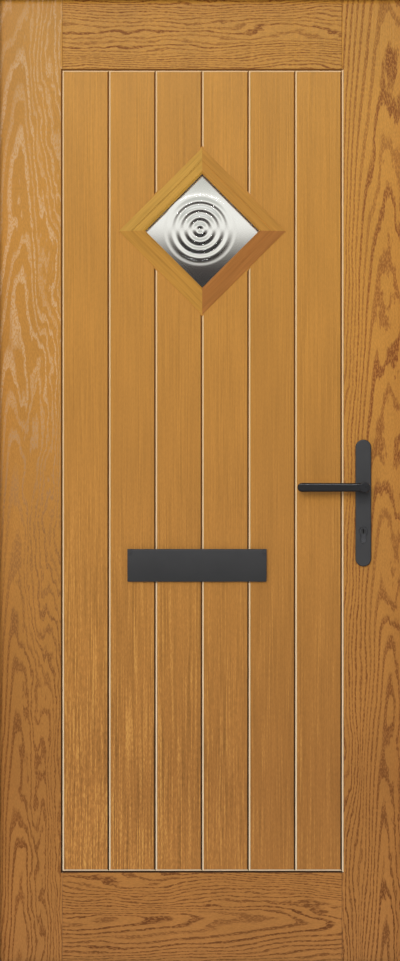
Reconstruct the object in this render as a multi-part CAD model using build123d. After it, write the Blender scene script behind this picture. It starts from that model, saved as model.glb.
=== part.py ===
from build123d import *
import os
from math import hypot, sqrt

# A boarded front door with a diamond bullseye light, hung in its frame and seen from outside.
# X runs across the door to the right, Y runs inwards through it and Z is up, in millimetres.
# The origin is the middle of the threshold's underside.

# Frame
FRAME_WIDTH = 950
FRAME_HEIGHT = 2095
FRAME_DEPTH = 70
JAMB_THICKNESS = 34
STOP_REACH = 16
EDGE_GAP = 4
STOP_GAP = 4
FIXING_RADIUS = 4.25
FIXING_END_INSET = 172.5
FIXING_MIDDLE_SPACING = 650

# Threshold
THRESHOLD_HEIGHT = 15
THRESHOLD_NOSE = 9
NIB_RISE = 12
NIB_THICKNESS = 5
INNER_CHAMFER = 6

# Gaskets
GASKET_WIDTH = 8
GASKET_THICKNESS = 3.7
GASKET_INSET = 3
SILL_SEAL_INSET = 1
SILL_SEAL_HEIGHT = 6

# Leaf
LEAF_THICKNESS = 44
SKIN = 2.5
STILE = 143.5
TOP_RAIL = 160
BOTTOM_RAIL = 197
BOARDS = 6
GROOVE_WIDTH = 7.5
GROOVE_DEPTH = 3.5
JOINT_WIDTH = 2.4
JOINT_DEPTH = 0.8
EDGE_TIMBER = 60
BOTTOM_TIMBER = 100

# Diamond light: half sizes are square to its sides
GLAZING_DROP = 497.4
GLAZING_OUTER = 123.7
GLAZING_SIGHT = 84.5
GLAZING_STEP = 105
GLAZING_CREST = 89
GLAZING_EDGE_RISE = 2
GLAZING_STEP_RISE = 8.5
GLAZING_STEP_DIP = 1.5
GLAZING_CREST_RISE = 13
GLAZING_LIP_RISE = 9
GROOVE_MARGIN = 2.8
GLASS_APERTURE = 107
GLASS_HALF = 94
GLASS_FIT = 1
GLASS_SETBACK = 4
PANE = 4
PANE_GAP = 16
SPACER_INSET = 1.5
SPACER_WIDTH = 7
TAPE = 1.5
FRAME_LEG = 3
BOSS_RADIUS = 4.5
BOSS_LINE = 101.5
BOSS_SPREAD = 60
GLAZING_SCREW_RADIUS = 2
GLAZING_SCREW_LENGTH = 34
GLAZING_SCREW_SUNK = 6
BULLSEYE_OFFSET = -4.5
RING_PITCH = 17
RING_COUNT = 4
RING_RISE = 2.6
BULLSEYE_KNOB = 8.5

# Letterplate
LETTERPLATE_RISE = 839
LETTERPLATE_OFFSET = -11
LETTERPLATE_WIDTH = 292
LETTERPLATE_HEIGHT = 68.5
LETTERPLATE_CORNER = 2.5
LETTERPLATE_BASE = 3
SLOT_SIDE = 20
SLOT_OVER = 15.25
FLAP_THICKNESS = 5
FLAP_GAP = 0.3
LUG_WIDTH = 8
LUG_HEIGHT = 10
LUG_SIDE_GAP = 0.5
LUG_UNDER_GAP = 1
FLAP_PIN_RADIUS = 1.5
FLAP_PIN_LENGTH = 5
SLEEVE_WALL = 2
SLEEVE_FIT = 0.5
SLEEVE_SIDE = 2.5
SLEEVE_OVER = 1.25
LETTER_BOSS_RADIUS = 4
LETTER_BOSS_LENGTH = 14
LETTER_BOSS_INSET = 8
LETTER_SCREW_RADIUS = 2

# Lever handles
BACKSET = 99
LEVER_RISE = 1002.6
KEY_CENTRES = 92
BACKPLATE_WIDTH = 33
BACKPLATE_LENGTH = 266
BACKPLATE_THICKNESS = 8
BACKPLATE_DROP = 32.8
BACKPLATE_ROUND = 2.5
HANDLE_SCREW_INSET = 14
HANDLE_SCREW_RADIUS = 2.5
HANDLE_SCREW_STOP = 3
SPINDLE = 8
SPINDLE_REACH = 34
JOURNAL_RADIUS = 8
COLLAR_RADIUS = 10.5
COLLAR_LENGTH = 32
LEVER_THICKNESS = 11
LEVER_LENGTH = 139.6
LEVER_HEEL = 4
LEVER_HEEL_HEIGHT = 18
LEVER_TIP_HEIGHT = 19
LEVER_CORNER = 9
LEVER_ROUND = 4
HEEL_BOSS_RADIUS = 11.5
HEEL_BOSS_PROUD = 1
HEEL_BOSS_ROUND = 2.5

# Key cylinder
CYLINDER_RADIUS = 8.5
CYLINDER_LEG = 10
CYLINDER_DROP = 24.5
CYLINDER_PROUD = 2
PLUG_RADIUS = 6.5
CAM_RADIUS = 15
CAM_WIDTH = 9.6
CAM_LOBE = 8
CAM_GAP = 0.3
KEYWAY_WIDTH = 2.2
KEYWAY_HEIGHT = 8.5
KEYWAY_DEPTH = 12
TURN_DISC_RADIUS = 10
TURN_DISC = 5
TURN_WIDTH = 26
TURN_THICKNESS = 6
TURN_REACH = 16
CYLINDER_SCREW_RADIUS = 2.5
CYLINDER_SCREW_PAST = 4

# Lock
FACEPLATE_WIDTH = 20
FACEPLATE_THICKNESS = 3
FACEPLATE_PAST_HOOK = 100
CASE_THICKNESS = 16
CASE_WALL = 1.5
CASE_ABOVE_LEVER = 66
CASE_BELOW_KEY = 42
CASE_SCREW_PAST = 11
MORTISE_FIT = 0.5
BLOCK_MARGIN = 11
HUB_RADIUS = 11
ARM_HALF = 4
LUG_GAP = 0.6
LUG_THICKNESS = 4
LUG_CLEAR = 1
LUG_DROP = 12.2
LATCH_RISE = 24.4
LATCH_THROW = 11
LATCH_HEIGHT = 20
LATCH_THICKNESS = 12
LATCH_HEAD = 20
LATCH_FLAT = 3
TAIL_HEIGHT = 8
TAIL_THICKNESS = 6
TAIL_CLEAR = 0.9
DEADBOLT_DROP = 46
DEADBOLT_THROW = 22
DEADBOLT_HEIGHT = 30
DEADBOLT_LENGTH = 44.5
DEADBOLT_SHY = 2.5
BOLT_FIT = 0.5
KEEP_FIT = 1.5

# Hooks and drive rods
UPPER_HOOK_DROP = 386
LOWER_HOOK_RISE = 381
HOOK_BACKSET = 22
HOOK_ARM = 38
HOOK_HALF = 6
HOOK_BEAK = 8
HOOK_BEAK_RISE = 16
HOOK_THICKNESS = 6
HOOK_HUB = 9
HOOK_PIVOT_RADIUS = 4
HOOK_CASE_ABOVE = 16
HOOK_CASE_BELOW = 45
HOOK_CASE_BACK = 15
HOOK_SIDE_FIT = 1.5
HOOK_SWEEP_FIT = 2
ROD_THICKNESS = 4
ROD_WIDTH = 12
ROD_SET_BACK = 1.5
ROD_FIT = 0.6
ROD_TRAVEL = 18
ROD_ABOVE_LATCH = 6
ROD_UNDER_UPPER_HOOK = 59
ROD_OVER_LOWER_HOOK = 28
ROD_BELOW_SCREW = 4
FACEPLATE_SCREW_RADIUS = 2
FACEPLATE_SCREW_LENGTH = 30
UPPER_ROD_SCREWS = 2
LOWER_ROD_SCREWS = 1

# Keeps
KEEP_THICKNESS = 2.5
KEEP_MARGIN = 26
HOOK_KEEP_WIDTH = 22
HOOK_KEEP_MARGIN = 24
KEEP_SCREW_RADIUS = 2
KEEP_SCREW_LENGTH = 25
KEEP_SCREW_INSET = 9
POCKET_DEEPER = 2

# Hinges
HINGE_RISE = 231
HINGE_DROP = 227
HINGE_LENGTH = 110
HINGE_PLATE = 4
HINGE_CLEAR = 0.5
KNUCKLE_RADIUS = 8
KNUCKLE_MIDDLE = 39
BUSH_RADIUS = 6
PIN_RADIUS = 4
PIN_PAST = 2
RUNNING_FIT = 0.05
FRAME_PLATE_REACH = 30
DOOR_PLATE_REACH = 60
HINGE_SCREW_PITCH = 40
HINGE_SCREW_RADIUS = 2.5
HINGE_SCREW_LENGTH = 34
FRAME_SCREW_INSET = 18
DOOR_SCREW_INSET = 30

# Places worked out from the sizes above
FRAME_X = FRAME_WIDTH / 2
REBATE_X = FRAME_X - JAMB_THICKNESS
SIGHT_X = REBATE_X - STOP_REACH
LEAF_X = REBATE_X - EDGE_GAP
REBATE_TOP = FRAME_HEIGHT - JAMB_THICKNESS
SIGHT_TOP = REBATE_TOP - STOP_REACH
LEAF_TOP = REBATE_TOP - EDGE_GAP
LEAF_BOTTOM = THRESHOLD_HEIGHT + EDGE_GAP
SIGHT_BOTTOM = THRESHOLD_HEIGHT + NIB_RISE
FRAME_OUT = -FRAME_DEPTH / 2
FRAME_IN = FRAME_DEPTH / 2
LEAF_IN = FRAME_IN
LEAF_OUT = LEAF_IN - LEAF_THICKNESS
LEAF_MID = (LEAF_IN + LEAF_OUT) / 2
STOP_IN = LEAF_OUT - STOP_GAP
SKIN_BACK = LEAF_OUT + SKIN
INNER_SKIN_BACK = LEAF_IN - SKIN
TIMBER_X = LEAF_X - EDGE_TIMBER
PANEL_X = LEAF_X - STILE
PANEL_TOP = LEAF_TOP - TOP_RAIL
PANEL_BOTTOM = LEAF_BOTTOM + BOTTOM_RAIL
BOARD_PITCH = 2 * PANEL_X / BOARDS
RIDGE_WIDTH = GROOVE_WIDTH + 2 * SKIN
GLAZING_Z = LEAF_TOP - GLAZING_DROP
GLASS_OUT = LEAF_OUT + GLASS_SETBACK
GLASS_IN = GLASS_OUT + 2 * PANE + PANE_GAP
BOSS_MEET = (GLASS_OUT + GLASS_IN) / 2
LETTER_X = LETTERPLATE_OFFSET
LETTER_Z = LEAF_BOTTOM + LETTERPLATE_RISE
LETTER_TOP = LETTER_Z + LETTERPLATE_HEIGHT / 2
SLOT_WIDTH = LETTERPLATE_WIDTH - 2 * SLOT_SIDE
SLOT_HEIGHT = LETTERPLATE_HEIGHT - 2 * SLOT_OVER
FLAP_BACK = LEAF_OUT - LETTERPLATE_BASE - FLAP_GAP
FLAP_FRONT = FLAP_BACK - FLAP_THICKNESS
FLAP_AXIS_Y = (FLAP_BACK + FLAP_FRONT) / 2
FLAP_AXIS_Z = LETTER_TOP - FLAP_THICKNESS / 2
LOCK_X = LEAF_X - BACKSET
LEVER_Z = LEAF_BOTTOM + LEVER_RISE
KEY_Z = LEVER_Z - KEY_CENTRES
BACKPLATE_Z = LEVER_Z - BACKPLATE_DROP
PLATE_OUT = LEAF_OUT - BACKPLATE_THICKNESS
PLATE_IN = LEAF_IN + BACKPLATE_THICKNESS
CASE_OUT = LEAF_MID - CASE_THICKNESS / 2
CASE_IN = LEAF_MID + CASE_THICKNESS / 2
CASE_TOP = LEVER_Z + CASE_ABOVE_LEVER
CASE_BOTTOM = KEY_Z - CASE_BELOW_KEY
LUG_RIGHT = LOCK_X - ARM_HALF - LUG_GAP
CASE_BACK = LUG_RIGHT - LUG_THICKNESS - LATCH_THROW - LUG_CLEAR - CASE_WALL
FACE_BACK = LEAF_X - FACEPLATE_THICKNESS
LATCH_Z = LEVER_Z + LATCH_RISE
LATCH_BACK = LEAF_X - LATCH_HEAD
DEADBOLT_Z = LEVER_Z - DEADBOLT_DROP
CYLINDER_SCREW_Z = KEY_Z - CYLINDER_DROP + CYLINDER_LEG / 2
HOOK_X = LEAF_X - HOOK_BACKSET
UPPER_HOOK_Z = LEAF_TOP - UPPER_HOOK_DROP
LOWER_HOOK_Z = LEAF_BOTTOM + LOWER_HOOK_RISE
HOOK_HEIGHTS = (UPPER_HOOK_Z, LOWER_HOOK_Z)
HOOK_SWEEP = hypot(HOOK_ARM, HOOK_BEAK_RISE)
FACEPLATE_TOP = UPPER_HOOK_Z + FACEPLATE_PAST_HOOK
FACEPLATE_BOTTOM = LOWER_HOOK_Z - FACEPLATE_PAST_HOOK
ROD_FRONT = FACE_BACK - ROD_SET_BACK
ROD_BACK = ROD_FRONT - ROD_THICKNESS
UPPER_ROD_BOTTOM = LATCH_Z + LATCH_HEIGHT / 2 + ROD_ABOVE_LATCH
UPPER_ROD_TOP = UPPER_HOOK_Z - ROD_UNDER_UPPER_HOOK
LOWER_ROD_TOP = CYLINDER_SCREW_Z - CYLINDER_SCREW_RADIUS - ROD_BELOW_SCREW
LOWER_ROD_BOTTOM = LOWER_HOOK_Z + ROD_OVER_LOWER_HOOK
KEEP_BACK = REBATE_X + KEEP_THICKNESS
BOTTOM_HINGE_Z = LEAF_BOTTOM + HINGE_RISE
TOP_HINGE_Z = LEAF_TOP - HINGE_DROP
HINGE_HEIGHTS = (BOTTOM_HINGE_Z, (BOTTOM_HINGE_Z + TOP_HINGE_Z) / 2, TOP_HINGE_Z)
HINGE_AXIS_X = -(LEAF_X + EDGE_GAP / 2)
HINGE_AXIS_Y = LEAF_IN + KNUCKLE_RADIUS + HINGE_CLEAR
CENTRE_SCREW_HEIGHTS = (CASE_TOP + CASE_SCREW_PAST, CASE_BOTTOM - CASE_SCREW_PAST)

# Turns that send a piece drawn upwards along +Z towards another side
INWARDS = Rot(-90, 0, 0)
RIGHTWARDS = Rot(0, 90, 0)
LEFTWARDS = Rot(0, -90, 0)
OUTWARDS = Rot(90, 0, 0)


def block(x, y, z):
    """A block between a low and a high limit in each direction."""
    size = [high - low for low, high in (x, y, z)]
    middle = [(high + low) / 2 for low, high in (x, y, z)]
    return Pos(*middle) * Box(*size)


def about(middle, half):
    """The two limits that lie the same way off a middle."""
    return middle - half, middle + half


def cylinder_x(radius, x, y, z):
    return Pos((x[0] + x[1]) / 2, y, z) * RIGHTWARDS * Cylinder(radius, x[1] - x[0])


def cylinder_y(radius, x, y, z):
    return Pos(x, (y[0] + y[1]) / 2, z) * INWARDS * Cylinder(radius, y[1] - y[0])


def cylinder_z(radius, x, y, z):
    return Pos(x, y, (z[0] + z[1]) / 2) * Cylinder(radius, z[1] - z[0])


def through(sketch, y):
    """A drawing with X to the right and Z up, run through the door between two limits of Y."""
    return extrude(Plane.XZ.offset(-y[0]) * sketch, -(y[1] - y[0]))


def across(sketch, x):
    """A drawing of Y and Z, run across the door between two limits of X."""
    return extrude(Plane.YZ.offset(x[0]) * sketch, x[1] - x[0])


def upright(sketch, z):
    """A plan drawing of X and Y, run between two heights."""
    return extrude(Plane.XY.offset(z[0]) * sketch, z[1] - z[0])


def outline(*points):
    return make_face(Polyline(*points, close=True))


def tapered(x, z, y0, size0, y1, size1):
    """A four-sided solid round x and z whose width and height go from size0 at y0 to size1 at y1."""
    ends = [Plane.XZ.offset(-y) * Pos(x, z) * Rectangle(*size) for y, size in ((y0, size0), (y1, size1))]
    return loft(ends)


def mirrored_x(shape):
    return mirror(shape, about=Plane.YZ)


def inside_copy(shape):
    """The same piece on the door's inner face."""
    return mirror(shape, about=Plane.XZ.offset(-LEAF_MID))


def screw(spot, turn, radius, length):
    """A countersunk screw with its flat head at spot, turned from +Z to the way it is driven."""
    start = (Align.CENTER, Align.CENTER, Align.MIN)
    head = Cone(2 * radius, radius, radius, align=start)
    return Pos(*spot) * turn * (head + Cylinder(radius, length, align=start))


def cut_all(shape, cutters):
    for cutter in cutters:
        shape -= cutter
    return shape


def group(shapes):
    """Separate solids kept together as one piece."""
    return Compound(children=list(shapes))


# Frame


def jamb():
    """The right-hand jamb, mitred at the top, with its holes into the wall."""
    face = outline((REBATE_X, 0), (FRAME_X, 0), (FRAME_X, FRAME_HEIGHT), (REBATE_X, REBATE_TOP))
    heights = [FIXING_END_INSET, FRAME_HEIGHT - FIXING_END_INSET]
    heights += about(FRAME_HEIGHT / 2, FIXING_MIDDLE_SPACING / 2)
    fixings = [cylinder_x(FIXING_RADIUS, (REBATE_X, FRAME_X), LEAF_MID, z) for z in heights]
    return cut_all(through(face, (FRAME_OUT, FRAME_IN)), fixings)


def frame_head():
    corners = ((FRAME_X, FRAME_HEIGHT), (REBATE_X, REBATE_TOP))
    face = outline(*corners, *((-x, z) for x, z in reversed(corners)))
    return through(face, (FRAME_OUT, FRAME_IN))


def threshold():
    """A low bar between the jambs, weathered outside."""
    profile = outline(
        (FRAME_OUT, 0),
        (FRAME_IN, 0),
        (FRAME_IN, THRESHOLD_HEIGHT - INNER_CHAMFER),
        (FRAME_IN - INNER_CHAMFER, THRESHOLD_HEIGHT),
        (STOP_IN - NIB_THICKNESS, THRESHOLD_HEIGHT),
        (FRAME_OUT, THRESHOLD_NOSE),
    )
    return across(profile, (-REBATE_X, REBATE_X))


def frame_stops(bar):
    """Three planted stops, mitred at the top and with their feet cut to the threshold's slope."""
    y = (FRAME_OUT, STOP_IN)
    side = through(outline((SIGHT_X, 0), (REBATE_X, 0), (REBATE_X, REBATE_TOP), (SIGHT_X, SIGHT_TOP)), y)
    side -= bar
    corners = ((REBATE_X, REBATE_TOP), (SIGHT_X, SIGHT_TOP))
    top = through(outline(*corners, *((-x, z) for x, z in reversed(corners))), y)
    return group([side, mirrored_x(side), top])


def water_bar():
    """The upstand on the threshold in front of the leaf."""
    y = (STOP_IN - NIB_THICKNESS, STOP_IN)
    return block((-SIGHT_X, SIGHT_X), y, (THRESHOLD_HEIGHT, SIGHT_BOTTOM))


def frame_gasket():
    """Four lengths of seal on the stops and the water bar, which the leaf closes against."""
    y = (STOP_IN, STOP_IN + GASKET_THICKNESS)
    inner = SIGHT_X + GASKET_INSET
    head = (SIGHT_TOP + GASKET_INSET, SIGHT_TOP + GASKET_INSET + GASKET_WIDTH)
    side = block((inner, inner + GASKET_WIDTH), y, (SIGHT_BOTTOM, head[1]))
    sill_top = SIGHT_BOTTOM - SILL_SEAL_INSET
    sill = block((-SIGHT_X, SIGHT_X), y, (sill_top - SILL_SEAL_HEIGHT, sill_top))
    return group([side, mirrored_x(side), block((-inner, inner), y, head), sill])


# Keeps


def sweep_drop(x):
    """How far below the hook's pivot its beak passes at a distance x from it."""
    return sqrt(HOOK_SWEEP**2 - x**2) + HOOK_SWEEP_FIT


def hook_slot(z, x, above):
    """The room for one hook's swing between two limits of X, reaching a height above its pivot."""
    low = z - sweep_drop(x[0] - HOOK_X)
    return block(x, about(LEAF_MID, HOOK_THICKNESS / 2 + HOOK_SIDE_FIT), (low, z + above))


def keep_plate(z, width_y):
    return block((REBATE_X, KEEP_BACK), width_y, z)


def centre_keep_limits():
    low = DEADBOLT_Z - DEADBOLT_HEIGHT / 2 - KEEP_MARGIN
    return low, LATCH_Z + LATCH_HEIGHT / 2 + KEEP_MARGIN


def hook_keep_limits(z):
    return z - sweep_drop(REBATE_X - HOOK_X) - HOOK_KEEP_MARGIN, z + HOOK_BEAK_RISE + HOOK_KEEP_MARGIN


def latch_room(x, fit):
    z = about(LATCH_Z, LATCH_HEIGHT / 2 + fit)
    return block(x, about(LEAF_MID, LATCH_THICKNESS / 2 + fit), z)


def deadbolt_room(x, fit):
    z = about(DEADBOLT_Z, DEADBOLT_HEIGHT / 2 + fit)
    return block(x, about(LEAF_MID, LATCH_THICKNESS / 2 + fit), z)


def centre_keep():
    """The plate that the latch and the deadbolt enter, as wide as the rebate behind the latch."""
    plate = keep_plate(centre_keep_limits(), (LEAF_MID - LATCH_THICKNESS, FRAME_IN))
    x = (REBATE_X, KEEP_BACK)
    return plate - latch_room(x, KEEP_FIT) - deadbolt_room(x, KEEP_FIT)


def hook_keeps():
    """Two plates with a slot for a hook."""
    plates = []
    for z in HOOK_HEIGHTS:
        plate = keep_plate(hook_keep_limits(z), about(LEAF_MID, HOOK_KEEP_WIDTH / 2))
        plates.append(plate - hook_slot(z, (REBATE_X, KEEP_BACK), HOOK_HALF + HOOK_SWEEP_FIT))
    return plates


def keep_screws():
    """A screw near each end of the three keeps."""
    ends = [centre_keep_limits()] + [hook_keep_limits(z) for z in HOOK_HEIGHTS]
    heights = [z for low, high in ends for z in (low + KEEP_SCREW_INSET, high - KEEP_SCREW_INSET)]
    return [screw((REBATE_X, LEAF_MID, z), RIGHTWARDS, KEEP_SCREW_RADIUS, KEEP_SCREW_LENGTH) for z in heights]


def keep_pockets():
    """The hollows in the jamb behind the keeps for the latch, the deadbolt and the hooks."""
    latch_end = LEAF_X + LATCH_THROW + POCKET_DEEPER
    bolt_end = LEAF_X - DEADBOLT_SHY + DEADBOLT_THROW + POCKET_DEEPER
    pockets = [latch_room((KEEP_BACK, latch_end), KEEP_FIT), deadbolt_room((KEEP_BACK, bolt_end), KEEP_FIT)]
    hook_end = HOOK_X + HOOK_SWEEP + POCKET_DEEPER
    above = HOOK_BEAK_RISE + HOOK_SWEEP_FIT
    return pockets + [hook_slot(z, (KEEP_BACK, hook_end), above) for z in HOOK_HEIGHTS]


# Hinges


def knuckle(radius, z):
    return cylinder_z(radius, HINGE_AXIS_X, HINGE_AXIS_Y, z)


def hinge_zones(z):
    """The heights of a hinge's lower, middle and upper knuckle."""
    low, high = about(z, HINGE_LENGTH / 2)
    middle = about(z, KNUCKLE_MIDDLE / 2)
    return (low, middle[0] - HINGE_CLEAR), middle, (middle[1] + HINGE_CLEAR, high)


def hinge_screw_heights(z):
    return [z - HINGE_SCREW_PITCH, z, z + HINGE_SCREW_PITCH]


def frame_hinge_screws(z):
    x = -(REBATE_X + FRAME_SCREW_INSET)
    y = LEAF_IN + HINGE_PLATE
    return [
        screw((x, y, h), OUTWARDS, HINGE_SCREW_RADIUS, HINGE_SCREW_LENGTH) for h in hinge_screw_heights(z)
    ]


def door_hinge_screws(z):
    x = -(LEAF_X - DOOR_SCREW_INSET)
    y = LEAF_IN + HINGE_PLATE
    return [
        screw((x, y, h), OUTWARDS, HINGE_SCREW_RADIUS, HINGE_SCREW_LENGTH) for h in hinge_screw_heights(z)
    ]


def hinge_pin(z):
    low, high = about(z, HINGE_LENGTH / 2)
    return knuckle(PIN_RADIUS, (low - PIN_PAST, high + PIN_PAST))


def frame_hinge_leaf(z):
    """The plate on the jamb with the two outer knuckles that hold the pin."""
    lower, middle, upper = hinge_zones(z)
    span = (lower[0], upper[1])
    plate = block((-(REBATE_X + FRAME_PLATE_REACH), -REBATE_X), (LEAF_IN, LEAF_IN + HINGE_PLATE), span)
    room = knuckle(KNUCKLE_RADIUS + HINGE_CLEAR, (lower[1], upper[0]))
    leaf = plate - room + knuckle(KNUCKLE_RADIUS, lower) + knuckle(KNUCKLE_RADIUS, upper)
    return cut_all(leaf - hinge_pin(z), frame_hinge_screws(z))


def door_hinge_leaf(z):
    """The plate on the leaf with the middle knuckle."""
    lower, middle, upper = hinge_zones(z)
    span = (lower[0], upper[1])
    plate = block((-LEAF_X, -LEAF_X + DOOR_PLATE_REACH), (LEAF_IN, LEAF_IN + HINGE_PLATE), span)
    rooms = [knuckle(KNUCKLE_RADIUS + HINGE_CLEAR, (lower[0], middle[0]))]
    rooms.append(knuckle(KNUCKLE_RADIUS + HINGE_CLEAR, (middle[1], upper[1])))
    leaf = cut_all(plate, rooms) + knuckle(KNUCKLE_RADIUS, middle) - knuckle(BUSH_RADIUS, middle)
    return cut_all(leaf, door_hinge_screws(z))


def hinge_bush(z):
    middle = hinge_zones(z)[1]
    return knuckle(BUSH_RADIUS, middle) - knuckle(PIN_RADIUS + RUNNING_FIT, middle)


# Leaf


def diamond(half, y):
    """A square prism standing on its corner round the light's middle."""
    return to_diamond(square_block(half, y))


def board_joints():
    return [-PANEL_X + BOARD_PITCH * i for i in range(1, BOARDS)]


def v_cut(x, z, width, depth):
    """An upright V cut in the outer face."""
    tip = outline((x - width / 2, LEAF_OUT), (x + width / 2, LEAF_OUT), (x, LEAF_OUT + depth))
    return upright(tip, z)


def grooves():
    """The V grooves round the panel and between its boards, which stop short of the light's frame."""
    middle = (PANEL_TOP + PANEL_BOTTOM) / 2
    width, height = 2 * PANEL_X, PANEL_TOP - PANEL_BOTTOM
    bottom = (LEAF_OUT + GROOVE_DEPTH, (width, height))
    wide = (width + GROOVE_WIDTH, height + GROOVE_WIDTH)
    narrow = (width - GROOVE_WIDTH, height - GROOVE_WIDTH)
    ring = tapered(0, middle, LEAF_OUT, wide, *bottom) - tapered(0, middle, LEAF_OUT, narrow, *bottom)
    stop = diamond(GLAZING_OUTER + GROOVE_MARGIN, (LEAF_OUT, LEAF_MID))
    cuts = [v_cut(x, (PANEL_BOTTOM, PANEL_TOP), GROOVE_WIDTH, GROOVE_DEPTH) - stop for x in board_joints()]
    return [ring] + cuts


def rail_joints():
    """The fine lines where the rails butt against the stiles."""
    spans = ((LEAF_BOTTOM, PANEL_BOTTOM), (PANEL_TOP, LEAF_TOP))
    return [v_cut(x, z, JOINT_WIDTH, JOINT_DEPTH) for x in (-PANEL_X, PANEL_X) for z in spans]


def ridges():
    """The back of the grooves, where the skin keeps its thickness."""
    y = (SKIN_BACK, SKIN_BACK + GROOVE_DEPTH)
    half = RIDGE_WIDTH / 2
    outer = block(about(0, PANEL_X + half), y, (PANEL_BOTTOM - half, PANEL_TOP + half))
    inner = block(about(0, PANEL_X - half), y, (PANEL_BOTTOM + half, PANEL_TOP - half))
    stop = diamond(GLAZING_OUTER + GROOVE_MARGIN, (LEAF_OUT, LEAF_MID))
    bars = [block(about(x, half), y, (PANEL_BOTTOM, PANEL_TOP)) - stop for x in board_joints()]
    return [outer - inner] + bars


def letter_aperture():
    """The hole in the leaf for the letterplate's sleeve."""
    around = SLEEVE_WALL + SLEEVE_FIT
    x = about(LETTER_X, SLOT_WIDTH / 2 + SLEEVE_SIDE + around)
    z = about(LETTER_Z, SLOT_HEIGHT / 2 + SLEEVE_OVER + around)
    return block(x, (LEAF_OUT, LEAF_IN), z)


def leaf_apertures():
    """What is cut right through the leaf for the light, the letterplate and the lock."""
    y = (LEAF_OUT, LEAF_IN)
    holes = [diamond(GLASS_APERTURE, y), letter_aperture()]
    holes.append(cylinder_y(JOURNAL_RADIUS, LOCK_X, y, LEVER_Z))
    holes.append(through(cylinder_outline(MORTISE_FIT), y))
    holes += handle_screws()
    bosses = [letter_boss(side) for side in (-1, 1)]
    return holes + bosses + [inside_copy(boss) for boss in bosses] + letterplate_screws()


def outer_skin():
    """A moulded skin with its boards, and the same wall behind each groove."""
    skin = block((-LEAF_X, LEAF_X), (LEAF_OUT, SKIN_BACK), (LEAF_BOTTOM, LEAF_TOP))
    for ridge in ridges():
        skin += ridge
    return cut_all(skin, grooves() + rail_joints() + leaf_apertures())


def inner_skin(outer):
    screws = [s for z in HINGE_HEIGHTS for s in door_hinge_screws(z)]
    return cut_all(inside_copy(outer), screws)


def lock_block_limits():
    """The solid timber round the lock case, wide enough for the handle's screws."""
    z = about(BACKPLATE_Z, BACKPLATE_LENGTH / 2 + MORTISE_FIT)
    return (CASE_BACK - BLOCK_MARGIN, TIMBER_X), (SKIN_BACK, INNER_SKIN_BACK), z


def foam_core():
    """The rigid foam between the skins and inside the timber edges."""
    y = (SKIN_BACK, INNER_SKIN_BACK)
    core = block((-TIMBER_X, TIMBER_X), y, (LEAF_BOTTOM + BOTTOM_TIMBER, LEAF_TOP - EDGE_TIMBER))
    backs = ridges()
    cuts = backs + [inside_copy(ridge) for ridge in backs]
    cuts += [diamond(GLASS_APERTURE, y), letter_aperture(), block(*lock_block_limits())]
    bosses = [letter_boss(side) for side in (-1, 1)]
    cuts += bosses + [inside_copy(boss) for boss in bosses] + letterplate_screws()
    return cut_all(core, cuts)


def hinge_stile():
    screws = [s for z in HINGE_HEIGHTS for s in door_hinge_screws(z)]
    timber = block((-LEAF_X, -TIMBER_X), (SKIN_BACK, INNER_SKIN_BACK), (LEAF_BOTTOM, LEAF_TOP))
    return cut_all(timber, screws)


def mortise_y():
    """The depth of the mortises, which is also the lock stile's middle ply."""
    return about(LEAF_MID, CASE_THICKNESS / 2 + MORTISE_FIT)


def room_heights(limits):
    return limits[0] - MORTISE_FIT, limits[1] + MORTISE_FIT


def core_lengths():
    """Each length of the middle ply as its two heights and the X of its front."""
    lower, upper = (room_heights(hook_case_limits(z)) for z in (LOWER_HOOK_Z, UPPER_HOOK_Z))
    centre = room_heights((CASE_BOTTOM, CASE_TOP))
    behind_case = HOOK_X - HOOK_CASE_BACK - MORTISE_FIT
    behind_rod = ROD_BACK - ROD_FIT
    return [
        (LEAF_BOTTOM, FACEPLATE_BOTTOM, LEAF_X),
        (FACEPLATE_BOTTOM, lower[0], FACE_BACK),
        (*lower, behind_case),
        (lower[1], centre[0], behind_rod),
        (centre[1], upper[0], behind_rod),
        (*upper, behind_case),
        (upper[1], FACEPLATE_TOP, FACE_BACK),
        (FACEPLATE_TOP, LEAF_TOP, LEAF_X),
    ]


def lock_stile():
    """Two full-length plies and, between them, lengths of core that leave the lock's mortises free."""
    x, z = (TIMBER_X, LEAF_X), (LEAF_BOTTOM, LEAF_TOP)
    middle = mortise_y()
    plies = [block(x, (SKIN_BACK, middle[0]), z), block(x, (middle[1], INNER_SKIN_BACK), z)]
    core = [block((TIMBER_X, front), middle, (low, high)) for low, high, front in core_lengths()]
    screws = faceplate_screws()
    return [ply - faceplate_blank() for ply in plies] + [cut_all(length, screws) for length in core]


def lock_block():
    mortise = block((CASE_BACK - MORTISE_FIT, TIMBER_X), mortise_y(), room_heights((CASE_BOTTOM, CASE_TOP)))
    cuts = [mortise, cylinder_y(JOURNAL_RADIUS, LOCK_X, (LEAF_OUT, LEAF_IN), LEVER_Z)]
    cuts += [through(cylinder_outline(MORTISE_FIT), (LEAF_OUT, LEAF_IN))] + handle_screws()
    return cut_all(block(*lock_block_limits()), cuts)


def leaf_rails():
    """The timber along the leaf's top and bottom, between its stiles."""
    spans = ((LEAF_TOP - EDGE_TIMBER, LEAF_TOP), (LEAF_BOTTOM, LEAF_BOTTOM + BOTTOM_TIMBER))
    return [block((-TIMBER_X, TIMBER_X), (SKIN_BACK, INNER_SKIN_BACK), z) for z in spans]


# Diamond light, drawn upright round its own middle with the skin's face at the stated side


def square_block(half, y):
    return block((-half, half), y, (-half, half))


def square_ring(outer, inner, y):
    return square_block(outer, y) - square_block(inner, y)


def to_diamond(shape):
    return Pos(0, 0, GLAZING_Z) * Rot(0, 45, 0) * shape


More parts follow.
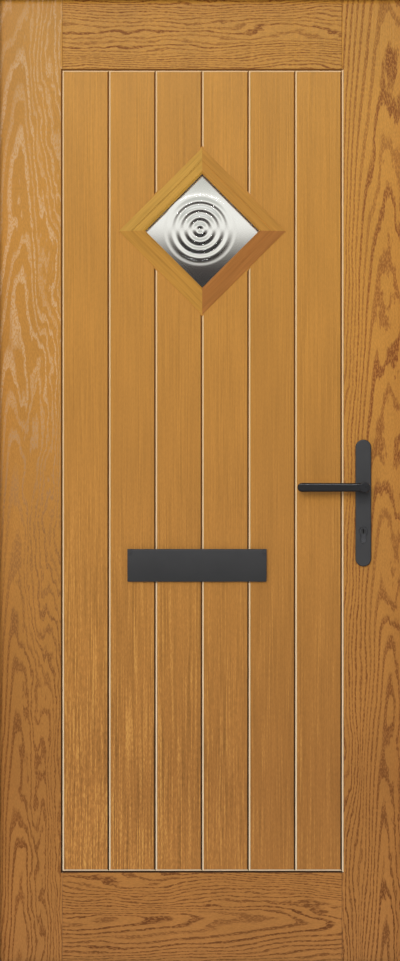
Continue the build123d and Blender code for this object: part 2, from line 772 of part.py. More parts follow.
def boss_spots():
    spots = []
    for along in (-BOSS_SPREAD, BOSS_SPREAD):
        spots += [(along, BOSS_LINE), (along, -BOSS_LINE), (BOSS_LINE, along), (-BOSS_LINE, along)]
    return spots


def square(half):
    return 2 * half, 2 * half


def glazing_frame(seat, meet):
    """A mitred frame with two raised bands outside the skin, a seat for the glass and screw bosses.

    The skin's face is at y = 0 and the frame stands out towards -y. The glass tape lies at seat, and
    the bosses end at meet.
    """
    dip = GLAZING_STEP_DIP - GLAZING_STEP_RISE
    edge = (-GLAZING_EDGE_RISE, square(GLAZING_OUTER))
    step = (-GLAZING_STEP_RISE, square(GLAZING_STEP))
    crest = (-GLAZING_CREST_RISE, square(GLAZING_CREST))
    frame = square_block(GLAZING_OUTER, (-GLAZING_EDGE_RISE, 0))
    frame += tapered(0, 0, *edge, *step) - square_block(GLAZING_STEP, (-GLAZING_STEP_RISE, dip))
    frame += tapered(0, 0, dip, square(GLAZING_STEP), *crest)
    pocket = GLASS_HALF + GLASS_FIT
    frame += square_block(pocket + FRAME_LEG, (0, meet))
    for x, z in boss_spots():
        frame += cylinder_y(BOSS_RADIUS, x, (0, meet), z)
    frame -= square_block(pocket, (seat, meet))
    frame -= square_block(GLAZING_SIGHT, (-GLAZING_CREST_RISE, seat))
    return frame - tapered(0, 0, *crest, -GLAZING_LIP_RISE, square(GLAZING_SIGHT))


def glazing_screws():
    """Screws driven from inside through the inner frame's bosses into the outer one's."""
    y = LEAF_IN + GLAZING_SCREW_SUNK
    size = (GLAZING_SCREW_RADIUS, GLAZING_SCREW_LENGTH)
    return [screw((x, y, z), OUTWARDS, *size) for x, z in boss_spots()]


def outer_glazing_frame():
    frame = Pos(0, LEAF_OUT, 0) * glazing_frame(GLASS_OUT - TAPE - LEAF_OUT, BOSS_MEET - LEAF_OUT)
    return cut_all(frame, glazing_screws())


def inner_glazing_frame():
    blank = glazing_frame(LEAF_IN - GLASS_IN - TAPE, LEAF_IN - BOSS_MEET)
    frame = Pos(0, LEAF_IN, 0) * mirror(blank, about=Plane.XZ)
    start = LEAF_IN + GLAZING_SCREW_SUNK
    wells = [
        cylinder_y(2 * GLAZING_SCREW_RADIUS, x, (start, LEAF_IN + GLAZING_CREST_RISE), z)
        for x, z in boss_spots()
    ]
    return cut_all(frame, glazing_screws() + wells)


def glazing_tapes():
    outer = (GLASS_OUT - TAPE, GLASS_OUT)
    inner = (GLASS_IN, GLASS_IN + TAPE)
    return [square_ring(GLASS_HALF, GLAZING_SIGHT, y) for y in (outer, inner)]


def bullseye_rings():
    """The ripples of the bullseye: a knob and rings of one pitch, turned round the ring's middle."""
    edges = [BULLSEYE_KNOB + RING_PITCH * i for i in range(RING_COUNT)]
    line = Line((0, GLASS_OUT), (0, GLASS_OUT - RING_RISE))
    line += RadiusArc((0, GLASS_OUT - RING_RISE), (edges[0], GLASS_OUT), BULLSEYE_KNOB**2 / RING_RISE)
    for a, b in zip(edges, edges[1:]):
        line += ThreePointArc((a, GLASS_OUT), ((a + b) / 2, GLASS_OUT - RING_RISE), (b, GLASS_OUT))
    line += Line((edges[-1], GLASS_OUT), (0, GLASS_OUT))
    return revolve(make_face(line), Axis.Y)


def bullseye_pane():
    pane = to_diamond(square_block(GLASS_HALF, (GLASS_OUT, GLASS_OUT + PANE)))
    return pane + Pos(BULLSEYE_OFFSET, 0, GLAZING_Z) * bullseye_rings()


def inner_pane():
    return square_block(GLASS_HALF, (GLASS_IN - PANE, GLASS_IN))


def glass_spacer():
    outer = GLASS_HALF - SPACER_INSET
    return square_ring(outer, outer - SPACER_WIDTH, (GLASS_OUT + PANE, GLASS_IN - PANE))


# Letterplate


def letter_boss(side):
    """A post behind the plate that takes its screw; side is -1 or 1."""
    x = LETTER_X + side * (LETTERPLATE_WIDTH / 2 - LETTER_BOSS_INSET)
    return cylinder_y(LETTER_BOSS_RADIUS, x, (LEAF_OUT, LEAF_OUT + LETTER_BOSS_LENGTH), LETTER_Z)


def letterplate_screws():
    """Screws driven from the inner plate into the outer plate's posts."""
    start = LEAF_IN + LETTERPLATE_BASE
    length = start - LEAF_OUT - LETTERPLATE_BASE
    spots = [LETTER_X + side * (LETTERPLATE_WIDTH / 2 - LETTER_BOSS_INSET) for side in (-1, 1)]
    return [screw((x, start, LETTER_Z), OUTWARDS, LETTER_SCREW_RADIUS, length) for x in spots]


def flap_pins():
    """Two stubs on the flap's axis that turn in the plate's lugs."""
    inner = LETTERPLATE_WIDTH / 2 - LUG_WIDTH - LUG_SIDE_GAP
    stubs = []
    for side in (-1, 1):
        ends = sorted((LETTER_X + side * inner, LETTER_X + side * (inner + LUG_SIDE_GAP + FLAP_PIN_LENGTH)))
        stubs.append((ends, FLAP_AXIS_Y, FLAP_AXIS_Z))
    return stubs


def letterplate_face(y):
    face = RectangleRounded(LETTERPLATE_WIDTH, LETTERPLATE_HEIGHT, LETTERPLATE_CORNER)
    return through(Pos(LETTER_X, LETTER_Z) * face, y)


def letterplate_frame():
    """The fixed plate: a slot, two lugs for the flap's pins and two screw posts."""
    plate = letterplate_face((LEAF_OUT - LETTERPLATE_BASE, LEAF_OUT))
    for side in (-1, 1):
        edge = LETTER_X + side * LETTERPLATE_WIDTH / 2
        x = sorted((edge, edge - side * LUG_WIDTH))
        plate += block(x, (FLAP_FRONT, LEAF_OUT - LETTERPLATE_BASE), (LETTER_TOP - LUG_HEIGHT, LETTER_TOP))
        plate += letter_boss(side)
    slot = block(about(LETTER_X, SLOT_WIDTH / 2), (FLAP_FRONT, LEAF_OUT), about(LETTER_Z, SLOT_HEIGHT / 2))
    holes = [cylinder_x(FLAP_PIN_RADIUS + RUNNING_FIT, *stub) for stub in flap_pins()]
    return cut_all(plate - slot, holes)


def letter_flap():
    """A flap as large as the plate, notched round the lugs and round along its top edge."""
    low = LETTER_Z - LETTERPLATE_HEIGHT / 2
    y = (FLAP_FRONT, FLAP_BACK)
    flap = letterplate_face(y) & block(about(LETTER_X, LETTERPLATE_WIDTH / 2), y, (low, FLAP_AXIS_Z))
    notch_in = LETTERPLATE_WIDTH / 2 - LUG_WIDTH - LUG_SIDE_GAP
    notch_z = (LETTER_TOP - LUG_HEIGHT - LUG_UNDER_GAP, LETTER_TOP)
    for side in (-1, 1):
        x = sorted((LETTER_X + side * notch_in, LETTER_X + side * LETTERPLATE_WIDTH / 2))
        flap -= block(x, y, notch_z)
    flap += cylinder_x(FLAP_THICKNESS / 2, about(LETTER_X, notch_in), FLAP_AXIS_Y, FLAP_AXIS_Z)
    for stub in flap_pins():
        flap += cylinder_x(FLAP_PIN_RADIUS, *stub)
    return flap


def letterplate_sleeve():
    """A draught-proof tube through the leaf between the two plates."""
    y = (LEAF_OUT, LEAF_IN)
    half_x = SLOT_WIDTH / 2 + SLEEVE_SIDE
    half_z = SLOT_HEIGHT / 2 + SLEEVE_OVER
    tube = block(about(LETTER_X, half_x + SLEEVE_WALL), y, about(LETTER_Z, half_z + SLEEVE_WALL))
    return tube - block(about(LETTER_X, half_x), y, about(LETTER_Z, half_z))


# Lever handles


def cylinder_outline(grow):
    """The key cylinder's section: a round head and a narrower leg below it, grown all round."""
    round_leg = Pos(0, CYLINDER_LEG / 2 - CYLINDER_DROP) * Circle(CYLINDER_LEG / 2 + grow)
    shank = outline(
        (-CYLINDER_LEG / 2 - grow, 0),
        (CYLINDER_LEG / 2 + grow, 0),
        (CYLINDER_LEG / 2 + grow, CYLINDER_LEG / 2 - CYLINDER_DROP),
        (-CYLINDER_LEG / 2 - grow, CYLINDER_LEG / 2 - CYLINDER_DROP),
    )
    return Pos(LOCK_X, KEY_Z) * (Circle(CYLINDER_RADIUS + grow) + shank + round_leg)


def handle_screws():
    """Two long screws from the inner backplate into the back of the outer one."""
    start = PLATE_IN
    length = start - PLATE_OUT - HANDLE_SCREW_STOP
    heights = about(BACKPLATE_Z, BACKPLATE_LENGTH / 2 - HANDLE_SCREW_INSET)
    return [screw((LOCK_X, start, z), OUTWARDS, HANDLE_SCREW_RADIUS, length) for z in heights]


def backplate_blank():
    """A plate with fully round ends, eased round its front."""
    face = Pos(LOCK_X, BACKPLATE_Z) * Rot(0, 0, 90) * SlotOverall(BACKPLATE_LENGTH, BACKPLATE_WIDTH)
    plate = through(face, (PLATE_OUT, LEAF_OUT))
    front = plate.faces().sort_by(Axis.Y)[0]
    plate = fillet(front.edges(), BACKPLATE_ROUND)
    plate -= cylinder_y(JOURNAL_RADIUS + RUNNING_FIT, LOCK_X, (PLATE_OUT, LEAF_OUT), LEVER_Z)
    return plate - through(cylinder_outline(MORTISE_FIT), (PLATE_OUT, LEAF_OUT))


def spindle():
    half = SPINDLE / 2
    y = (PLATE_OUT - SPINDLE_REACH, PLATE_IN + SPINDLE_REACH)
    return block(about(LOCK_X, half), y, about(LEVER_Z, half))


def outer_lever():
    """A straight lever with a round tip, on a round neck that ends in a low boss at its heel."""
    neck_y = (PLATE_OUT - FLAP_GAP - COLLAR_LENGTH, PLATE_OUT - FLAP_GAP)
    front = neck_y[0] - LEVER_THICKNESS
    neck = cylinder_y(COLLAR_RADIUS, LOCK_X, neck_y, LEVER_Z)
    neck += cylinder_y(JOURNAL_RADIUS, LOCK_X, (neck_y[1], LEAF_OUT), LEVER_Z)
    boss = cylinder_y(HEEL_BOSS_RADIUS, LOCK_X, (front, neck_y[0]), LEVER_Z)
    boss = fillet(boss.faces().sort_by(Axis.Y)[0].edges(), HEEL_BOSS_ROUND)
    heel, tip = LEVER_HEEL_HEIGHT / 2, LEVER_TIP_HEIGHT / 2
    face = outline((LEVER_HEEL, -heel), (LEVER_HEEL, heel), (-LEVER_LENGTH, tip), (-LEVER_LENGTH, -tip))
    face = Pos(LOCK_X, LEVER_Z) * fillet(face.vertices().sort_by(Axis.X)[:2], LEVER_CORNER)
    arm = through(face, (front + HEEL_BOSS_PROUD, neck_y[0]))
    arm = fillet(arm.faces().sort_by(Axis.Y)[0].edges(), LEVER_ROUND)
    return neck + boss + arm - spindle()


# Key cylinder


def cylinder_ends():
    return PLATE_OUT - CYLINDER_PROUD, PLATE_IN + CYLINDER_PROUD


def cylinder_screw():
    length = LEAF_X - LOCK_X + CYLINDER_SCREW_PAST
    spot = (LEAF_X, LEAF_MID, CYLINDER_SCREW_Z)
    return screw(spot, LEFTWARDS, CYLINDER_SCREW_RADIUS, length)


def cylinder_body():
    """The fixed part of the cylinder, cut away in the middle for the turning cam."""
    ends = cylinder_ends()
    body = through(cylinder_outline(0), ends)
    body -= cylinder_y(PLUG_RADIUS + RUNNING_FIT, LOCK_X, ends, KEY_Z)
    cam_y = about(LEAF_MID, CAM_WIDTH / 2 + CAM_GAP)
    body -= cylinder_y(CAM_RADIUS + CAM_GAP, LOCK_X, cam_y, KEY_Z)
    return body - cylinder_screw()


def key_plug():
    """The outer plug with its keyway."""
    out = cylinder_ends()[0]
    plug = cylinder_y(PLUG_RADIUS, LOCK_X, (out, LEAF_MID - CAM_WIDTH / 2), KEY_Z)
    slot = block(about(LOCK_X, KEYWAY_WIDTH / 2), (out, out + KEYWAY_DEPTH), about(KEY_Z, KEYWAY_HEIGHT / 2))
    return plug - slot


def cylinder_cam():
    """The cam that throws the bolts: a hub with one lobe, pointing up at rest."""
    y = about(LEAF_MID, CAM_WIDTH / 2)
    lobe = block(about(LOCK_X, CAM_LOBE / 2), y, (KEY_Z, KEY_Z + CAM_RADIUS))
    reach = cylinder_y(CAM_RADIUS, LOCK_X, y, KEY_Z)
    return cylinder_y(CYLINDER_RADIUS, LOCK_X, y, KEY_Z) + (lobe & reach)


def thumbturn():
    """The inner plug with a flat grip on a disc."""
    face = cylinder_ends()[1] + FLAP_GAP
    plug = cylinder_y(PLUG_RADIUS, LOCK_X, (LEAF_MID + CAM_WIDTH / 2, face), KEY_Z)
    disc = cylinder_y(TURN_DISC_RADIUS, LOCK_X, (face, face + TURN_DISC), KEY_Z)
    grip = Pos(LOCK_X, KEY_Z) * Rot(0, 0, 90) * SlotOverall(TURN_WIDTH, TURN_THICKNESS)
    return plug + disc + through(grip, (face, face + TURN_DISC + TURN_REACH))


# Lock


def faceplate_blank():
    y = about(LEAF_MID, FACEPLATE_WIDTH / 2)
    return block((FACE_BACK, LEAF_X), y, (FACEPLATE_BOTTOM, FACEPLATE_TOP))


def between(start, end, count):
    """Heights that share out a length evenly, with none at its ends."""
    return [start + (end - start) * i / (count + 1) for i in range(1, count + 1)]


def faceplate_screw_heights():
    """Screws past each hook, past each end of the centre case, and evenly along the rods."""
    heights = [FACEPLATE_TOP - CASE_SCREW_PAST, FACEPLATE_BOTTOM + CASE_SCREW_PAST]
    heights += CENTRE_SCREW_HEIGHTS
    heights += between(CENTRE_SCREW_HEIGHTS[0], hook_case_limits(UPPER_HOOK_Z)[0], UPPER_ROD_SCREWS)
    return heights + between(CENTRE_SCREW_HEIGHTS[1], hook_case_limits(LOWER_HOOK_Z)[1], LOWER_ROD_SCREWS)


def faceplate_screws():
    return [
        screw((LEAF_X, LEAF_MID, z), LEFTWARDS, FACEPLATE_SCREW_RADIUS, FACEPLATE_SCREW_LENGTH)
        for z in faceplate_screw_heights()
    ]


def lock_faceplate():
    """The long edge plate that carries the cases and guides the bolts."""
    x = (FACE_BACK, LEAF_X)
    plate = faceplate_blank() - latch_room(x, BOLT_FIT) - deadbolt_room(x, BOLT_FIT)
    slots = [hook_slot(z, x, HOOK_HALF + HOOK_SWEEP_FIT) for z in HOOK_HEIGHTS]
    return cut_all(plate, slots + [cylinder_screw()] + faceplate_screws())


def lock_case():
    """A tray open towards the faceplate and closed inside by its cover."""
    tray = block((CASE_BACK, FACE_BACK), (CASE_OUT, CASE_IN - CASE_WALL), (CASE_BOTTOM, CASE_TOP))
    room_y = (CASE_OUT + CASE_WALL, CASE_IN - CASE_WALL)
    tray -= block((CASE_BACK + CASE_WALL, FACE_BACK), room_y, (CASE_BOTTOM + CASE_WALL, CASE_TOP - CASE_WALL))
    rod_x = (ROD_BACK - ROD_FIT, FACE_BACK)
    tray -= block(rod_x, about(LEAF_MID, ROD_WIDTH / 2 + ROD_FIT / 2), (CASE_BOTTOM, CASE_TOP))
    return cut_all(tray, case_holes())


def lock_case_cover():
    cover = block((CASE_BACK, FACE_BACK), (CASE_IN - CASE_WALL, CASE_IN), (CASE_BOTTOM, CASE_TOP))
    return cut_all(cover, case_holes())


def case_holes():
    """Holes in both sides of the case for the follower's ends, the key cylinder and any handle screw."""
    y = (CASE_OUT, CASE_IN)
    bearing = cylinder_y(JOURNAL_RADIUS + RUNNING_FIT, LOCK_X, y, LEVER_Z)
    return [bearing, through(cylinder_outline(MORTISE_FIT), y)] + handle_screws()


def follower():
    """The hub on the spindle, with an arm up to the latch's lug."""
    room = about(LEAF_MID, CASE_THICKNESS / 2 - CASE_WALL - FLAP_GAP)
    tail_under = LATCH_Z - TAIL_HEIGHT / 2
    arm = block(about(LOCK_X, ARM_HALF), room, (LEVER_Z, tail_under - TAIL_CLEAR))
    hub = cylinder_y(HUB_RADIUS, LOCK_X, room, LEVER_Z)
    ends = cylinder_y(JOURNAL_RADIUS, LOCK_X, (CASE_OUT, CASE_IN), LEVER_Z)
    return hub + arm + ends - spindle()


def latch_bolt():
    """A bevelled latch head with a tail and the lug that the follower pulls."""
    half = LATCH_THICKNESS / 2
    out, back = LEAF_MID - half, LEAF_MID + half
    nose = LEAF_X + LATCH_THROW
    head = outline(
        (LATCH_BACK, out), (LEAF_X, out), (nose, back - LATCH_FLAT), (nose, back), (LATCH_BACK, back)
    )
    bolt = upright(head, about(LATCH_Z, LATCH_HEIGHT / 2))
    y = about(LEAF_MID, TAIL_THICKNESS / 2)
    lug_x = (LUG_RIGHT - LUG_THICKNESS, LUG_RIGHT)
    bolt += block((lug_x[0], LATCH_BACK), y, about(LATCH_Z, TAIL_HEIGHT / 2))
    return bolt + block(lug_x, y, (LATCH_Z - LUG_DROP, LATCH_Z))


def deadbolt():
    nose = LEAF_X - DEADBOLT_SHY
    y = about(LEAF_MID, LATCH_THICKNESS / 2)
    return block((nose - DEADBOLT_LENGTH, nose), y, about(DEADBOLT_Z, DEADBOLT_HEIGHT / 2))


def hook_case_limits(z):
    return z - HOOK_CASE_BELOW, z + HOOK_CASE_ABOVE


def hook_pivot(z, radius):
    return cylinder_y(radius, HOOK_X, (CASE_OUT, CASE_IN), z)


def hook_case(z):
    """A small case open towards the faceplate, with a notch at each end for the drive rod."""
    low, high = hook_case_limits(z)
    x = (HOOK_X - HOOK_CASE_BACK, FACE_BACK)
    case = block(x, (CASE_OUT, CASE_IN), (low, high))
    room_y = (CASE_OUT + CASE_WALL, CASE_IN - CASE_WALL)
    case -= block((x[0] + CASE_WALL, x[1]), room_y, (low + CASE_WALL, high - CASE_WALL))
    case -= block((ROD_BACK - ROD_FIT, x[1]), about(LEAF_MID, ROD_WIDTH / 2 + ROD_FIT / 2), (low, high))
    return case - hook_pivot(z, HOOK_PIVOT_RADIUS)


def hook(z):
    """A hook on its pivot, hanging down at rest with its beak towards the frame."""
    arm = outline(
        (0, -HOOK_HALF),
        (HOOK_ARM, -HOOK_HALF),
        (HOOK_ARM, HOOK_BEAK_RISE),
        (HOOK_ARM - HOOK_BEAK, HOOK_BEAK_RISE),
        (HOOK_ARM - HOOK_BEAK, HOOK_HALF),
        (0, HOOK_HALF),
    )
    face = arm + Circle(HOOK_HUB) - Circle(HOOK_PIVOT_RADIUS + RUNNING_FIT)
    return Pos(HOOK_X, LEAF_MID, z) * Rot(0, 90, 0) * through(face, about(0, HOOK_THICKNESS / 2))


def drive_rod(z, travel):
    """A flat rod behind the faceplate, slotted where the faceplate's screws pass; travel is signed."""
    rod = block((ROD_BACK, ROD_FRONT), about(LEAF_MID, ROD_WIDTH / 2), z)
    half = FACEPLATE_SCREW_RADIUS + ROD_FIT
    for height in faceplate_screw_heights():
        if z[0] < height < z[1]:
            low, high = sorted((height, height - travel))
            slot = block((ROD_BACK, ROD_FRONT), about(LEAF_MID, half), (low - half, high + half))
            rod -= slot
    return rod


def build():
    """Every piece under its own name."""
    jamb_blank = jamb()
    sill = threshold()
    outer = outer_skin()
    plate = backplate_blank()
    lever = outer_lever()
    flap = letter_flap()
    letter_frame = letterplate_frame()
    keeps = keep_screws()
    edge_screws = faceplate_screws()
    frame_screws = [s for z in HINGE_HEIGHTS for s in frame_hinge_screws(z)]
    door_screws = [s for z in HINGE_HEIGHTS for s in door_hinge_screws(z)]
    handle = handle_screws()
    letter_screws = letterplate_screws()
    pieces = {
        "hinge_jamb": cut_all(mirrored_x(jamb_blank), frame_screws),
        "lock_jamb": cut_all(
            jamb_blank,
            [keep_plate(centre_keep_limits(), (LEAF_MID - LATCH_THICKNESS, FRAME_IN))]
            + [keep_plate(hook_keep_limits(z), about(LEAF_MID, HOOK_KEEP_WIDTH / 2)) for z in HOOK_HEIGHTS]
            + keep_pockets()
            + keeps,
        ),
        "frame_head": frame_head(),
        "frame_stops": frame_stops(sill),
        "threshold": sill,
        "water_bar": water_bar(),
        "frame_gasket": frame_gasket(),
        "centre_keep": cut_all(centre_keep(), keeps),
        "hook_keeps": group([cut_all(keep, keeps) for keep in hook_keeps()]),
        "keep_screws": group(keeps),
        "hinge_pins": group([hinge_pin(z) for z in HINGE_HEIGHTS]),
        "hinge_bushes": group([hinge_bush(z) for z in HINGE_HEIGHTS]),
        "frame_hinge_screws": group(frame_screws),
        "door_hinge_screws": group(door_screws),
        "outer_skin": outer,
        "inner_skin": inner_skin(outer),
        "foam_core": foam_core(),
        "hinge_stile": hinge_stile(),
        "lock_stile": group(lock_stile()),
        "leaf_rails": group(leaf_rails()),
        "lock_block": lock_block(),
        "outer_glazing_frame": to_diamond(outer_glazing_frame()),
        "inner_glazing_frame": to_diamond(inner_glazing_frame()),
        "glazing_tapes": group([to_diamond(tape) for tape in glazing_tapes()]),
        "bullseye_pane": bullseye_pane(),
        "inner_pane": to_diamond(inner_pane()),
        "glass_spacer": to_diamond(glass_spacer()),
        "glazing_screws": group([to_diamond(s) for s in glazing_screws()]),
        "letterplate_frame": cut_all(letter_frame, letter_screws),
        "letterplate_inner_frame": cut_all(inside_copy(letter_frame), letter_screws),
        "letterplate_sleeve": letterplate_sleeve(),
        "letterplate_screws": group(letter_screws),
        "outer_flap": flap,
        "inner_flap": inside_copy(flap),
        "outer_backplate": cut_all(plate, handle),
        "inner_backplate": cut_all(inside_copy(plate), handle),
        "handle_screws": group(handle),
        "outer_lever": lever,
        "inner_lever": inside_copy(lever),
        "spindle": spindle(),
        "follower": follower(),
        "latch_bolt": latch_bolt(),
        "cylinder_body": cylinder_body(),
        "cylinder_screw": cylinder_screw(),
        "key_plug": key_plug(),
        "cylinder_cam": cylinder_cam(),
        "thumbturn": thumbturn(),
        "deadbolt": deadbolt(),
        "lock_faceplate": lock_faceplate(),
        "faceplate_screws": group(edge_screws),
        "lock_case": lock_case(),
        "lock_case_cover": lock_case_cover(),
        "hook_cases": group([hook_case(z) for z in HOOK_HEIGHTS]),
        "hook_pivots": group([hook_pivot(z, HOOK_PIVOT_RADIUS) for z in HOOK_HEIGHTS]),
        "upper_hook": hook(UPPER_HOOK_Z),
        "lower_hook": hook(LOWER_HOOK_Z),
        "upper_drive_rod": drive_rod((UPPER_ROD_BOTTOM, UPPER_ROD_TOP), ROD_TRAVEL),
        "lower_drive_rod": drive_rod((LOWER_ROD_BOTTOM, LOWER_ROD_TOP), -ROD_TRAVEL),
    }
    pieces["frame_hinge_leaves"] = group([frame_hinge_leaf(z) for z in HINGE_HEIGHTS])
    pieces["door_hinge_leaves"] = group([door_hinge_leaf(z) for z in HINGE_HEIGHTS])
    return pieces


os.makedirs("parts", exist_ok=True)
for name, shape in build().items():
    export_step(shape, f"parts/{name}.step")
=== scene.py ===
# %% [markdown]
# # A boarded oak front door in its frame
#
# The door arrives as a finished mechanical model: every board groove, hinge and lock part is
# already a solid in the right place. This lesson gives it its looks. Each cell explains one
# finish or one piece first, and then makes it. Blender measures in metres, but the patterns are
# written in millimetres, because that is how a joiner thinks of grain.

# %% Load the model
import math

import bmesh
import bpy
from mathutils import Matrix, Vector


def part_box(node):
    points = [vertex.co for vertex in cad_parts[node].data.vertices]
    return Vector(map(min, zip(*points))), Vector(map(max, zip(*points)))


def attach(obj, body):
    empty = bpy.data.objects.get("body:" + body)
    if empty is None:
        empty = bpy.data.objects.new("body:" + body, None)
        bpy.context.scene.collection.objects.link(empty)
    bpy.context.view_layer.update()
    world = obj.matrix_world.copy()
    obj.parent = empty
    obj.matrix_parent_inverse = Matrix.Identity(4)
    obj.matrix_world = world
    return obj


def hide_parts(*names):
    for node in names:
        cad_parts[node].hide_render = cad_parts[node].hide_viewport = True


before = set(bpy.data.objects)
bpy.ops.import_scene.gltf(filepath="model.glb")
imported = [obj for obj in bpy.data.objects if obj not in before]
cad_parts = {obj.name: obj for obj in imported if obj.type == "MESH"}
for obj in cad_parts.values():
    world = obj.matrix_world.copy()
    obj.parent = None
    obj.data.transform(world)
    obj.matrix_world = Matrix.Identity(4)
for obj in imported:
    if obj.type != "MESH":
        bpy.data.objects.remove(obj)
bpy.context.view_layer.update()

# %% [markdown]
# ## Colours
#
# Colours are written as the hex values one would pick from a picture. Blender's shaders want
# linear light, so one function turns them over. It returns four numbers, because every colour
# socket and every ramp stop takes an opacity as well.


# %% One function for colours
def hex_colour(code):
    """A colour such as "C08A3A" as linear red, green, blue and an opacity of 1."""
    parts = [int(code[i:i + 2], 16) / 255 for i in (0, 2, 4)]
    linear = [p / 12.92 if p <= 0.04045 else ((p + 0.055) / 1.055) ** 2.4 for p in parts]
    return (*linear, 1.0)


print("golden oak in linear light:", [round(c, 3) for c in hex_colour("C08A3A")])

# %% [markdown]
# ## One helper for nodes
#
# A material is a graph of small nodes. Writing each one by hand takes many lines, so this
# helper adds one node, sets its properties and plugs in its inputs. An input is a plain value,
# a socket of another node, or another node, whose first output is then meant. A colour ramp
# also takes its stops, each a place from 0 to 1 with a hex colour or a grey level.


# %% The node helper
def add(tree, kind, inputs=(), stops=(), **settings):
    """Adds a shader node of that kind, and returns it."""
    made = tree.nodes.new("ShaderNode" + kind)
    for name, value in settings.items():
        setattr(made, name, value)
    pairs = inputs.items() if isinstance(inputs, dict) else enumerate(inputs)
    for key, value in pairs:
        if isinstance(value, bpy.types.Node):
            value = value.outputs[0]
        if isinstance(value, bpy.types.NodeSocket):
            tree.links.new(value, made.inputs[key])
        else:
            made.inputs[key].default_value = value
    if stops:
        elements = made.color_ramp.elements
        elements[0].position, elements[1].position = stops[0][0], stops[-1][0]
        for place, colour in stops[1:-1]:
            elements.new(place)
        for element, (place, colour) in zip(elements, stops):
            shown = hex_colour(colour) if isinstance(colour, str) else (colour, colour, colour, 1)
            element.color = shown
    return made


# %% [markdown]
# ## Starting a material
#
# A material starts with its name and an empty graph. The patterns are tied to the object's own
# coordinates, turned to millimetres. They then stay in the wood when the door swings, which
# world coordinates would not do.

# %% Start a material and measure in millimetres
MM = 1000.0


def begin(name):
    """A new material, its empty graph, and the place on the object in millimetres."""
    material = bpy.data.materials.new(name)
    material.use_nodes = True
    tree = material.node_tree
    tree.nodes.clear()
    place = add(tree, "TexCoord").outputs["Object"]
    return material, tree, add(tree, "VectorMath", (place, (MM, MM, MM)), operation="MULTIPLY")


# %% [markdown]
# ## Noise drawn out along the grain
#
# Wood is never even: pores, fibres and whole growth rings wander. All of that is noise, drawn
# out along the grain. The helper takes the size of one blot across and along the grain in
# millimetres, so each use says how large the real feature is. The seed only moves the noise
# along, so that no two patterns in a material have the same blots. The detail says how many
# times a finer noise is laid over it.


# %% Noise with a size in millimetres
def blots(tree, place, size, seed, detail=2.0):
    """Noise from 0 to 1 whose blots have that size in millimetres."""
    spot = add(tree, "Mapping", {
        "Vector": place, "Location": (seed, seed / 2, seed / 3), "Scale": [1 / s for s in size],
    })
    return add(tree, "TexNoise", {"Vector": spot, "Scale": 1.0, "Detail": detail})


# %% [markdown]
# ## How oak grain comes about
#
# A plank is a slice through nested growth rings. The distance from the tree's pith decides
# which ring shows: across the plank it grows sideways, and along the plank it grows because
# the trunk tapers. The lines of equal distance are then the tall arches that one sees on a
# flat-sawn plank. They could be painted as curves, but working out that distance gives arches
# with thick crests and thin flanks without further help. Oak keeps its large pores in the first
# part of each ring, so the arches are bands of pores rather than lines. No two years were
# alike, so each ring also gets a weight of its own.

# %% The growth rings
EARLY_WOOD = ((0.0, 0.6), (0.04, 1.0), (0.3, 0.9), (0.46, 0.0), (0.96, 0.0), (1.0, 0.6))
WEAKEST_RING = 0.55


def growth_rings(tree, across, depth, ring, wander):
    """From 0 to 1, how much of a ring's porous early wood shows; wander shifts it by that much."""
    moved = add(tree, "Math", (across, wander), operation="ADD")
    sideways = add(tree, "Math", (moved, 2.0), operation="POWER")
    inward = add(tree, "Math", (depth, 2.0), operation="POWER")
    squared = add(tree, "Math", (sideways, inward), operation="ADD")
    distance = add(tree, "Math", (squared,), operation="SQRT")
    count = add(tree, "Math", (distance, ring), operation="DIVIDE")
    share = add(tree, "Math", (count,), operation="FRACT")
    number = add(tree, "Math", (count,), operation="FLOOR")
    strength = add(tree, "TexWhiteNoise", {"W": number}, noise_dimensions="1D")
    weight = add(tree, "MapRange", {0: strength, 3: WEAKEST_RING, 4: 1.0})
    pores = add(tree, "ValToRGB", {0: share}, EARLY_WOOD)
    return add(tree, "Math", (pores, weight), operation="MULTIPLY")


print("pores fill", EARLY_WOOD[3][0], "of a ring")

# %% [markdown]
# ## Which part of the door is which
#
# The skin of the door is one moulded sheet, embossed to look like a joined door. So one material
# has to know where it is: on a stile, on a rail or on a board. The panel's edges follow the
# model's, and the board pitch follows from them. Masks of 0 and 1 pick the numbers that differ
# from part to part, and the grain is then worked out once for all.

# %% The parts of the skin, in millimetres
PANEL_EDGE = 293.5
PANEL_LOW = 216.0
PANEL_HIGH = 1897.0
PANEL_HALF = (PANEL_HIGH - PANEL_LOW) / 2
MIDDLE = (PANEL_LOW + PANEL_HIGH) / 2
BOARD = 2 * PANEL_EDGE / 6
skin_low, skin_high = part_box("outer_skin")
print("skin", [round(v * MM, 1) for v in skin_low], [round(v * MM, 1) for v in skin_high])


def away_from(tree, value, centre):
    """How far a coordinate is from a centre, in millimetres."""
    offset = add(tree, "Math", (value, centre), operation="SUBTRACT")
    return add(tree, "Math", (offset,), operation="ABSOLUTE")


def skin_masks(tree, place):
    """x and z, and masks that are 1 on rails, boards, the right stile and the upper half."""
    axes = add(tree, "SeparateXYZ", (place,))
    x, z = axes.outputs["X"], axes.outputs["Z"]
    middle = add(tree, "Math", (away_from(tree, x, 0.0), PANEL_EDGE), operation="LESS_THAN")
    beyond = add(tree, "Math", (away_from(tree, z, MIDDLE), PANEL_HALF), operation="GREATER_THAN")
    rail = add(tree, "Math", (middle, beyond), operation="MULTIPLY")
    board = add(tree, "Math", (middle, rail), operation="SUBTRACT")
    right = add(tree, "Math", (x, 0.0), operation="GREATER_THAN")
    right_stile = add(tree, "Math", (right, rail), operation="GREATER_THAN")
    upper = add(tree, "Math", (z, MIDDLE), operation="GREATER_THAN")
    return x, z, rail, board, right_stile, upper


